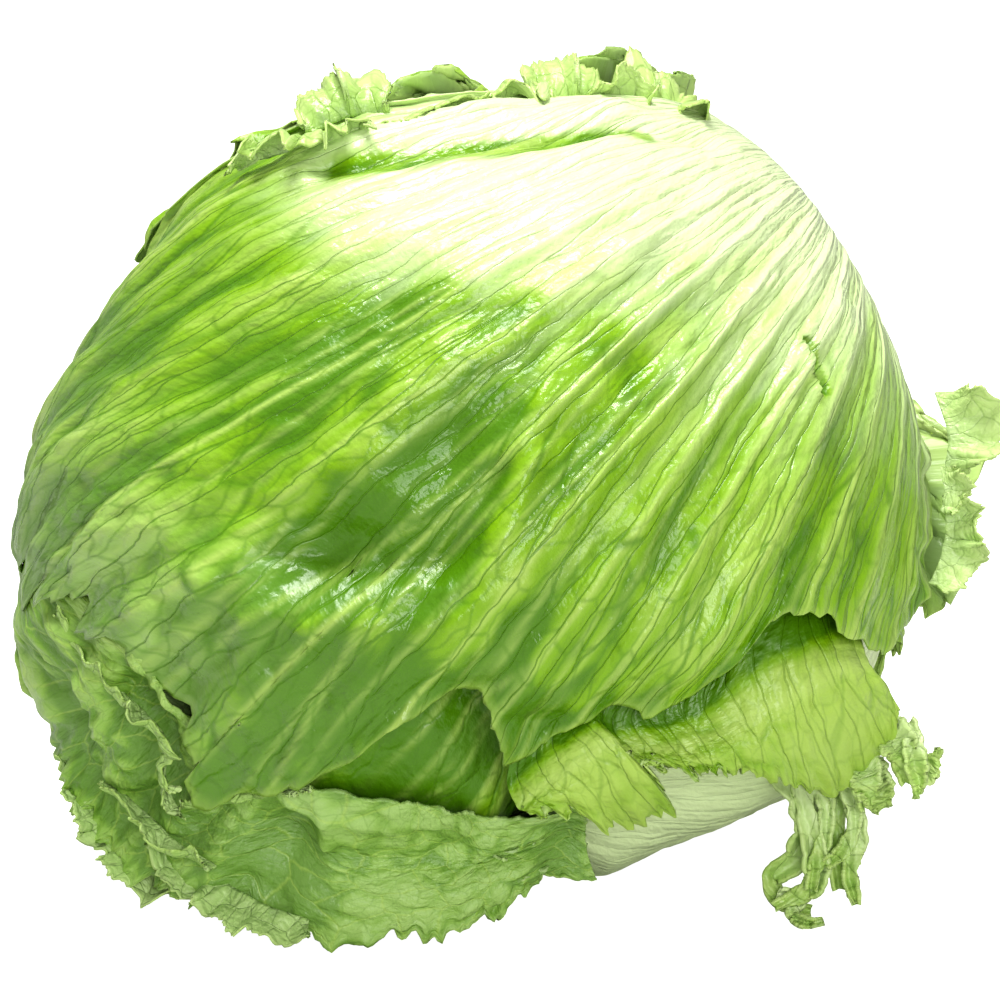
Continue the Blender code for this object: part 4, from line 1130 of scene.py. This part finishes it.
# Ruffled margins: base line (right, up, toward), how far they stand out along it, number of flutes, their
# depth, how far the free edge rolls over in radians, and the seed of their wander.
FRILLS = {
    "ruffle_left": (
        ((-42, 58, 30), (-36, 60, 34), (-30, 61, 37), (-24, 62, 38), (-19, 64, 37)),
        (3, 7, 9, 9, 4), 4.5, 3.0, 0.9, 81,
    ),
    "ruffle_curl": (
        ((-30, 63, 31), (-25, 66, 30), (-20, 67.5, 29), (-15, 67, 30)), (3, 8, 9, 3), 2.5, 2.6, -0.8, 82
    ),
    "ruffle_strip": (
        ((-19, 63.5, 35), (-11, 66, 33), (-4, 68.5, 29), (3, 70, 25)), (3, 4.5, 4.5, 2), 1.6, 1.2, 0.8, 83
    ),
    "ruffle_blob": (
        ((0, 68.5, 25), (4, 70, 23), (9, 71, 21), (13, 71, 21)), (4, 8, 9, 6), 2.6, 2.8, 1.3, 84
    ),
    "ruffle_lobe": (
        ((7, 70, 22), (12, 70.5, 20), (17, 70.5, 19), (21, 70, 19)), (4, 8, 9, 4), 2.2, 2.0, -0.7, 85
    ),
    "ruffle_wedge": (
        ((17, 68, 20), (22, 69.5, 18), (27, 69, 17), (30, 67, 17)), (4, 8, 9, 4), 1.3, 2.2, 0.5, 86
    ),
    "ruffle_tips": (
        ((25, 69, 16), (29, 69.5, 15), (33, 69, 14), (36, 67, 14)), (4, 9.5, 7, 5), 2.3, 2.6, -0.6, 87
    ),
    "ruffle_arch": (
        ((31, 66, 15), (35, 66.5, 14), (39, 65, 13), (42, 62, 13)), (5, 10, 10, 5), 1.2, 2.0, 1.0, 88
    ),
    "lobe_right_upper": (
        ((81, 19, 16), (82.5, 14, 19), (83, 9, 20), (82, 4, 20)), (4, 10, 10, 3), 1.6, 2.4, 0.4, 89
    ),
    "lobe_right_middle": (
        ((81.5, 6, 22), (82, 2, 23), (81.5, -2, 23)), (3, 5, 3), 1.2, 1.4, 0.5, 90
    ),
    "lobe_right_lower": (
        ((82, 1, 20), (82.5, -5, 21), (81.5, -10, 22), (79.5, -15, 22)), (4, 8, 8, 4), 2.2, 2.2, 0.5, 91
    ),
}

# The torn fringe of the wrapping leaf, in the same form.
FRINGE = {
    "fringe_left": (
        ((-72, -44, 16), (-68, -51, 22), (-63, -58, 26), (-57, -63, 29), (-50, -67, 32)),
        (3, 6, 7, 8, 6), 3.4, 2.2, 0.5, 101,
    ),
    "fringe_middle": (
        ((-56, -58, 33), (-49, -63, 37), (-42, -67, 40), (-36, -70, 42), (-29, -72, 42)),
        (3, 7, 8, 8, 5), 3.2, 2.4, 0.4, 102,
    ),
    "fringe_seam": (
        (
            (-73.5, -20, 31), (-66, -28.7, 40), (-59, -35, 45), (-53.8, -40.3, 47), (-54, -47.5, 44.5),
            (-51.6, -52.9, 43),
        ),
        (2, 4, 5, 5, 5, 2), 5.2, 1.9, 1.0, 104,
    ),
    "fringe_fold": (
        ((-51, -53, 43), (-43, -52, 44.5), (-36, -50.2, 51), (-28, -48.6, 57)),
        (2, 4, 3, 1), 3.1, 1.4, 1.3, 105,
    ),
    "fringe_upper": (
        ((-64, -50, 31), (-58, -54, 36), (-52, -59, 40), (-45, -63, 43)), (2, 5, 6, 3), 2.6, 1.8, 0.9, 103
    ),
}

# How deep a frill starts below its line, in mm.
FRILL_ROOT = 1.2
FRILL_GRID = (120, 18)


def frill(material, name, line, reach, flutes, depth, roll, seed):
    """A ruffled margin that stands out from the head along a line."""
    u, v = sheet_grid(*FRILL_GRID)
    base = spline(picture_places(line), u * (len(line) - 1))
    run = unit(np.gradient(base, axis=0))
    out = unit(base - np.array(HEAD_CENTRE))
    out = unit(out - np.sum(out * run, axis=-1, keepdims=True) * run)
    front = np.cross(run, out)
    front = front * np.where(front @ TOWARD < 0, -1.0, 1.0)[..., None]
    phase = 2 * math.pi * flutes * u + 1.5 * wander(u * flutes * 0.6, seed)
    fold = depth * v**1.3 * (np.sin(phase) + 0.35 * np.sin(2.7 * phase + seed))
    sway = 0.5 * depth * v * np.cos(phase)
    width = spline(reach, u * (len(reach) - 1)) * (1.0 + 0.16 * wander(u * flutes * 1.4, seed + 1))
    ragged = 1.0 * np.abs(wander(u * flutes * 4.0, seed + 2))
    ragged = ragged + 0.5 * np.abs(wander(u * flutes * 11.0, seed + 3))
    width = width + v**3 * (ragged - 0.6)
    bend = roll * v * (1.0 + 0.4 * wander(u * flutes * 0.8, seed + 4))
    outward = width * v * np.cos(bend) - FRILL_ROOT
    forward = width * v * np.sin(bend)
    stand = outward[..., None] * out + forward[..., None] * front
    points = base + stand + fold[..., None] * front + sway[..., None] * run
    points[..., 2] = np.maximum(points[..., 2], 0.2)
    length = float(np.linalg.norm(np.diff(base[:, 0], axis=0), axis=-1).sum())
    # Each frill is painted darker at its base, as painted shade, and lighter towards its free edge, as
    # painted light.
    shade_and_tone = 1.6 * v - 0.3 + 0.35 * wander(u * flutes * 2.0, seed + 5)
    marks = marks_of(
        u * length * 1.5, v * 12.0 + seed * 7.0, float(seed), 0.0, 0.8, shade_and_tone, 0.0, smooth(0.9, 1.0, v)
    )
    piece = sheet_piece(name, points, marks, 0.7 - 0.35 * v)
    return dress(piece, material, "outer_leaf")


def frills(settings):
    """The curled margins along the top edge and the right side."""
    material = leaf_material(
        "ruffles", settings, (3.4, 8.0, 1.6), (1.8, 3.0, 0.8), paleness=0.32, roughness=0.34, vein_depth=0.6,
        lines=0.5,
    )
    for name, values in FRILLS.items():
        frill(material, name, *values)
    dull = leaf_material(
        "fringe", settings, (4.0, 6.0, 1.6), (1.8, 3.0, 0.8), dullness=0.75, roughness=0.38, lines=0.6
    )
    for name, values in FRINGE.items():
        frill(dull, name, *values)


# Torn scraps of leaf: the centre line as points (right, up, toward) and the width at each point.
SIDE_SCRAPS = (
    (((68.0, -37.0, 32), (71.0, -40.5, 35), (72.5, -44, 35), (73.2, -48.5, 34)), (7.0, 6.0, 5.0, 1.2)),
    (((64.5, -43.0, 30), (66, -47.5, 34), (66.5, -53, 31)), (7.0, 5.5, 1.5)),
)
UNDER_SCRAPS = (
    (((51, -41, 21), (55.5, -49.5, 25.5), (57.8, -56, 25.5), (55.2, -62, 24.5), (50.5, -65.5, 24),
      (52.5, -69.5, 24), (57.5, -71, 24.5)), (7.5, 7.0, 6.0, 4.6, 3.2, 2.6, 1.6)),
    (((55.5, -39, 20), (60.5, -47.5, 24.5), (61.5, -56, 25), (62.5, -67.5, 24.5)), (6.0, 5.0, 3.4, 1.8)),
)

# Thin torn strands that hang among the scraps, in the same form.
STRANDS = (
    (((55.0, -46, 24), (57.0, -55, 27), (58.2, -64.5, 27), (55.6, -68.1, 27), (51, -70.4, 27)),
     (3, 3.4, 4, 3, 1)),
    (((59.5, -46, 24), (60, -53.8, 27), (58.8, -60.9, 28), (57.3, -67.2, 28)), (3.4, 2.2, 2.6, 1.4)),
    (((62.5, -44, 25), (64.5, -53, 28), (63.4, -60, 28), (59.5, -62.8, 28)), (4.2, 2.4, 2.4, 1.2)),
    (((64.0, -50, 26), (65.4, -58, 27), (64.2, -64.5, 27), (65.0, -69.9, 27)), (2.4, 2.8, 2.4, 0.8)),
    (((51.6, -68.1, 26), (54.7, -69.5, 26), (54.3, -71.5, 27), (56.5, -73, 28), (59.5, -72.8, 28)),
     (2, 2.6, 1.7, 1.3, 0.5)),
    (((73.0, -38, 34), (74.4, -42.1, 36), (74.6, -47, 36), (74.7, -51, 36)), (2.5, 3.4, 3, 0.8)),
    (((74.0, -45.5, 33), (76.0, -46.5, 34), (77.6, -45, 34), (78.6, -42.4, 34)), (2.5, 4, 3, 0.6)),
    (((66.0, -46, 31), (68.0, -50, 32), (69.4, -53, 32)), (7, 6, 2.5)),
)
SCRAP_GRID = (70, 10)
SCRAP_THICKNESS = 0.7


def scrap(material, name, slot, centreline, widths, seed):
    """A torn strip of leaf, cupped across and ragged along its sides."""
    u, v = sheet_grid(*SCRAP_GRID)
    middle = spline(picture_places(centreline), u * (len(centreline) - 1))
    run = unit(np.gradient(middle, axis=0))
    flat = unit(np.cross(run, TOWARD))
    deep = np.cross(run, flat)
    width = 0.85 * spline(widths, u * (len(widths) - 1))
    side = 2.0 * v - 1.0
    ragged = 0.22 * wander(u * 6.0, seed) + 0.2 * np.abs(wander(u * 15.0 + side, seed + 1))
    half = width / 2 * side * (1.0 + ragged)
    cup = 0.35 * width * (side**2 - 0.4) + 0.5 * np.sin(9.0 * u + 3.0 * side + seed)
    points = middle + half[..., None] * flat - cup[..., None] * deep
    shade_and_tone = 0.5 + 0.5 * wander(u * 5.0, seed + 2)
    marks = marks_of(half, u * 40.0, float(seed), 0.0, 0.22 + 0.4 * u, shade_and_tone, 0.0, np.abs(side) ** 8)
    piece = sheet_piece(name, points, marks, SCRAP_THICKNESS * np.ones(u.shape))
    return dress(piece, material, slot)


def scraps(settings):
    """The torn scraps that hang at the lower right."""
    material = leaf_material(
        "scraps", settings, (3.0, 7.0, 1.2), (1.6, 3.0, 0.8), paleness=0.25, roughness=0.34, lines=0.25
    )
    groups = (
        ("side_scrap", "bright_leaf", SIDE_SCRAPS), ("under_scrap", "pale_leaf", UNDER_SCRAPS),
        ("strand", "pale_leaf", STRANDS),
    )
    for label, slot, pieces in groups:
        for index, (centreline, widths) in enumerate(pieces):
            scrap(material, f"{label}_{index + 1}", slot, centreline, widths, 95 + index)


HEART_GRID = (200, 100)


def heart(settings):
    """The tight inner head: its pressed leaves show as three laps that wind round it."""
    columns, rows = HEART_GRID
    phi, theta = np.meshgrid(
        np.linspace(0.0, 360.0, columns, endpoint=False), np.linspace(0.0, 180.0, rows + 1), indexing="ij"
    )
    way = direction(phi, theta)
    lap = ((phi + 0.6 * theta) / 360.0 * HEART_LEAVES) % 1.0
    lift = HEART_LIFT + HEART_STEP * (lap - 0.5) * np.sin(np.radians(theta)) + 0.6 * soft_relief(way)
    points = place(way, lift)
    inner = points[:, 1:-1].reshape(-1, 3)
    ends = np.array((points[0, 0], points[0, -1]))
    span = rows - 1
    faces = []
    for k in range(columns):
        n = (k + 1) % columns
        low, high = k * span, n * span
        faces.append((len(inner), low, high))
        faces.append((len(inner) + 1, high + span - 1, low + span - 1))
        faces += [(low + j, low + j + 1, high + j + 1, high + j) for j in range(span - 1)]
    mesh = bpy.data.meshes.new("heart_leaves")
    mesh.from_pydata((np.concatenate((inner, ends)) * MM).tolist(), [], faces)
    mesh.shade_smooth()
    across, along = phi[:, 1:-1].ravel() * 1.3, theta[:, 1:-1].ravel() * 1.3
    marks = marks_of(across, along, 6.0, 0.0, 0.4, 0.0, 0.0, 0.0)
    for mark, values in marks.items():
        values = np.concatenate((values, values[:2]))
        layer = mesh.attributes.new(mark, "FLOAT_VECTOR", "POINT")
        layer.data.foreach_set("vector", values.astype(np.float32).ravel())
    piece = bpy.data.objects.new("heart_leaves", mesh)
    bpy.context.scene.collection.objects.link(piece)
    material = leaf_material(
        "heart", settings, (10.0, 30.0, 3.0), (4.0, 8.0, 1.5), paleness=0.35, roughness=0.36, lines=0.3
    )
    return dress(piece, material, "heart", "heart")


# The stem's profile: radius and lift in mm, from its hidden end to the cut.
STEM_PROFILE = (
    (0.0, -13.6), (9.5, -13.6), (11.0, -12.4), (12.5, -7.0), (14.4, -2.0), (15.0, 0.2),
    (14.6, 1.4), (13.2, 2.0), (9.0, 2.0), (5.0, 1.8), (0.0, 1.5),
)
STEM_SIDES = 96
STEM_RINGS = 41


def stem(settings):
    """The cut butt of the stem, turned about its own axis."""
    middle = direction(np.array(0.0), np.array(STEM_OFFSET))
    base = np.array(HEAD_CENTRE) + middle * head_radius(middle)
    first = np.cross(SIDE, middle)
    turns = np.linspace(0.0, 2 * math.pi, STEM_SIDES, endpoint=False)
    profile = spline(np.array(STEM_PROFILE), np.linspace(0, len(STEM_PROFILE) - 1, STEM_RINGS))
    vertices, faces = [], []
    for index, (radius, lift) in enumerate(profile[1:-1]):
        reach = radius * (1.0 + 0.03 * np.cos(3 * turns + 0.6) + 0.006 * np.sin(17 * turns))
        spokes = np.cos(turns)[:, None] * first + np.sin(turns)[:, None] * SIDE
        ring = base + middle * lift + reach[:, None] * spokes
        vertices.append(ring)
        if index:
            low = (index - 1) * STEM_SIDES
            for k in range(STEM_SIDES):
                n = (k + 1) % STEM_SIDES
                faces.append((low + k, low + n, low + STEM_SIDES + n, low + STEM_SIDES + k))
    count = len(vertices) * STEM_SIDES
    vertices.append(base + middle * profile[0, 1] + np.zeros((1, 3)))
    vertices.append(base + middle * profile[-1, 1] + np.zeros((1, 3)))
    last = count - STEM_SIDES
    for k in range(STEM_SIDES):
        n = (k + 1) % STEM_SIDES
        faces.append((count, n, k))
        faces.append((count + 1, last + k, last + n))
    mesh = bpy.data.meshes.new("cut_stem")
    mesh.from_pydata((np.concatenate(vertices) * MM).tolist(), [], faces)
    mesh.shade_smooth()
    if sum((face.center - Vector(base * MM)).dot(face.normal) * face.area for face in mesh.polygons) < 0:
        mesh.flip_normals()
    piece = bpy.data.objects.new("cut_stem", mesh)
    bpy.context.scene.collection.objects.link(piece)
    return dress(piece, stem_material(settings), "cut_stem", "stem")


# Table, light and camera

def table(settings):
    """A plain pale table that the head lies on."""
    mesh = bpy.data.meshes.new("table")
    reach, low = TABLE_REACH, -TABLE_DROP
    corners = [(-reach, -reach, low), (reach, -reach, low), (reach, reach, low), (-reach, reach, low)]
    mesh.from_pydata(corners, [], [(0, 1, 2, 3)])
    floor = bpy.data.objects.new("table", mesh)
    bpy.context.scene.collection.objects.link(floor)
    material = bpy.data.materials.new("table")
    material.use_nodes = True
    shader = material.node_tree.nodes["Principled BSDF"]
    shader.inputs["Base Color"].default_value = (*settings.table, 1.0)
    shader.inputs["Roughness"].default_value = 0.9
    shader.inputs["Specular IOR Level"].default_value = 0.1
    shader.inputs["Emission Color"].default_value = (1.0, 1.0, 1.0, 1.0)
    nodes = Nodes(material.node_tree)
    seen = nodes.add("ShaderNodeLightPath").outputs["Is Camera Ray"]
    nodes.put(shader.inputs["Emission Strength"], nodes.math("MULTIPLY", seen, TABLE_GLOW))
    mesh.materials.append(material)


def aim(thing, target):
    """Points a lamp along its -Z at a target in mm."""
    way = Vector(target) * MM - thing.location
    thing.rotation_euler = way.to_track_quat("-Z", "Y").to_euler()


def soft_light(name, position, size, power):
    """A round lamp at a place in metres, aimed at the head."""
    light = bpy.data.lights.new(name, "AREA")
    light.shape = "DISK"
    light.size = size
    light.energy = power
    lamp = bpy.data.objects.new(name, light)
    bpy.context.scene.collection.objects.link(lamp)
    lamp.location = Vector(position)
    aim(lamp, HEAD_CENTRE)


def studio():
    """Soft white light from above and all round, and the camera at the picture's angle."""
    world = bpy.data.worlds.new("studio")
    bpy.context.scene.world = world
    world.use_nodes = True
    background = world.node_tree.nodes["Background"]
    background.inputs["Color"].default_value = (1.0, 1.0, 1.0, 1.0)
    nodes = Nodes(world.node_tree)
    seen = nodes.add("ShaderNodeLightPath").outputs["Is Camera Ray"]
    nodes.put(background.inputs["Strength"], nodes.ramp(seen, 0.0, 1.0, WORLD_LIGHT, 1.0))
    soft_light("key", *KEY_LIGHT)
    soft_light("fill", *FILL_LIGHT)
    lens = bpy.data.cameras.new("camera")
    lens.lens = CAMERA_LENS
    lens.sensor_width = CAMERA_SENSOR
    camera = bpy.data.objects.new("camera", lens)
    bpy.context.scene.collection.objects.link(camera)
    spot = np.array(HEAD_CENTRE) + TOWARD * CAMERA_DISTANCE + RIGHT * CAMERA_ASIDE
    columns = np.stack((RIGHT, UP, TOWARD), axis=1)
    matrix = Matrix(columns.tolist()).to_4x4()
    matrix.translation = Vector(spot * MM)
    camera.matrix_world = matrix
    bpy.context.scene.camera = camera
    bpy.context.scene.view_settings.view_transform = "Standard"
    bpy.context.scene.view_settings.look = "Medium High Contrast"


# The add-on

class LETTUCE_OT_front_leaf(bpy.types.Operator):
    """Builds the large ribbed leaf that covers the front"""

    bl_idname = "lettuce.front_leaf"
    bl_label = "Front leaf"
    bl_options = {"REGISTER", "UNDO"}

    def execute(self, context):
        front_leaf(context.scene.lettuce)
        return {"FINISHED"}


class LETTUCE_OT_inner_leaf(bpy.types.Operator):
    """Builds the shaded leaf under the edge of the front leaf"""

    bl_idname = "lettuce.inner_leaf"
    bl_label = "Inner leaf"
    bl_options = {"REGISTER", "UNDO"}

    def execute(self, context):
        inner_leaf(context.scene.lettuce)
        return {"FINISHED"}


class LETTUCE_OT_wrap_leaf(bpy.types.Operator):
    """Builds the dull toothed leaf that wraps the top end and the bottom"""

    bl_idname = "lettuce.wrap_leaf"
    bl_label = "Wrapping leaf"
    bl_options = {"REGISTER", "UNDO"}

    def execute(self, context):
        wrap_leaf(context.scene.lettuce)
        return {"FINISHED"}


class LETTUCE_OT_side_leaf(bpy.types.Operator):
    """Builds the bright folded leaf at the lower right"""

    bl_idname = "lettuce.side_leaf"
    bl_label = "Side leaf"
    bl_options = {"REGISTER", "UNDO"}

    def execute(self, context):
        side_leaf(context.scene.lettuce)
        return {"FINISHED"}


class LETTUCE_OT_outer_leaves(bpy.types.Operator):
    """Builds the leaves at the right, the top and the back"""

    bl_idname = "lettuce.outer_leaves"
    bl_label = "Outer leaves"
    bl_options = {"REGISTER", "UNDO"}

    def execute(self, context):
        for leaf in OUTER_LEAVES:
            outer_leaf(context.scene.lettuce, *leaf)
        return {"FINISHED"}


class LETTUCE_OT_under_leaf(bpy.types.Operator):
    """Builds the pale leaf that the head lies on"""

    bl_idname = "lettuce.under_leaf"
    bl_label = "Under leaf"
    bl_options = {"REGISTER", "UNDO"}

    def execute(self, context):
        under_leaf(context.scene.lettuce)
        return {"FINISHED"}


class LETTUCE_OT_core(bpy.types.Operator):
    """Builds the tight heart and the cut stem"""

    bl_idname = "lettuce.core"
    bl_label = "Heart and stem"
    bl_options = {"REGISTER", "UNDO"}

    def execute(self, context):
        heart(context.scene.lettuce)
        stem(context.scene.lettuce)
        return {"FINISHED"}


class LETTUCE_OT_margins(bpy.types.Operator):
    """Builds the curled margins and the torn scraps"""

    bl_idname = "lettuce.margins"
    bl_label = "Ruffles and scraps"
    bl_options = {"REGISTER", "UNDO"}

    def execute(self, context):
        frills(context.scene.lettuce)
        scraps(context.scene.lettuce)
        return {"FINISHED"}


class LETTUCE_OT_stage(bpy.types.Operator):
    """Builds the table, the lights and the camera"""

    bl_idname = "lettuce.stage"
    bl_label = "Table, lights and camera"
    bl_options = {"REGISTER", "UNDO"}

    def execute(self, context):
        table(context.scene.lettuce)
        studio()
        return {"FINISHED"}


BUILDERS = (
    LETTUCE_OT_stage, LETTUCE_OT_core, LETTUCE_OT_inner_leaf, LETTUCE_OT_under_leaf, LETTUCE_OT_wrap_leaf,
    LETTUCE_OT_side_leaf, LETTUCE_OT_front_leaf, LETTUCE_OT_outer_leaves, LETTUCE_OT_margins,
)


class LETTUCE_PT_panel(bpy.types.Panel):
    """Lists the settings and the builders of the lettuce"""

    bl_idname = "LETTUCE_PT_panel"
    bl_label = "Iceberg lettuce"
    bl_space_type = "VIEW_3D"
    bl_region_type = "UI"
    bl_category = "Lettuce"

    def draw(self, context):
        settings = context.scene.lettuce
        for name in LettuceSettings.__annotations__:
            self.layout.prop(settings, name)
        for builder in BUILDERS:
            self.layout.operator(builder.bl_idname)


CLASSES = (LettuceSettings, *BUILDERS, LETTUCE_PT_panel)


def register():
    for entry in CLASSES:
        bpy.utils.register_class(entry)
    bpy.types.Scene.lettuce = PointerProperty(type=LettuceSettings)


def unregister():
    del bpy.types.Scene.lettuce
    for entry in reversed(CLASSES):
        bpy.utils.unregister_class(entry)


def main():
    register()
    for builder in BUILDERS:
        family, action = builder.bl_idname.split(".")
        getattr(getattr(bpy.ops, family), action)()
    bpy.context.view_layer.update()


if __name__ == "__main__":
    main()
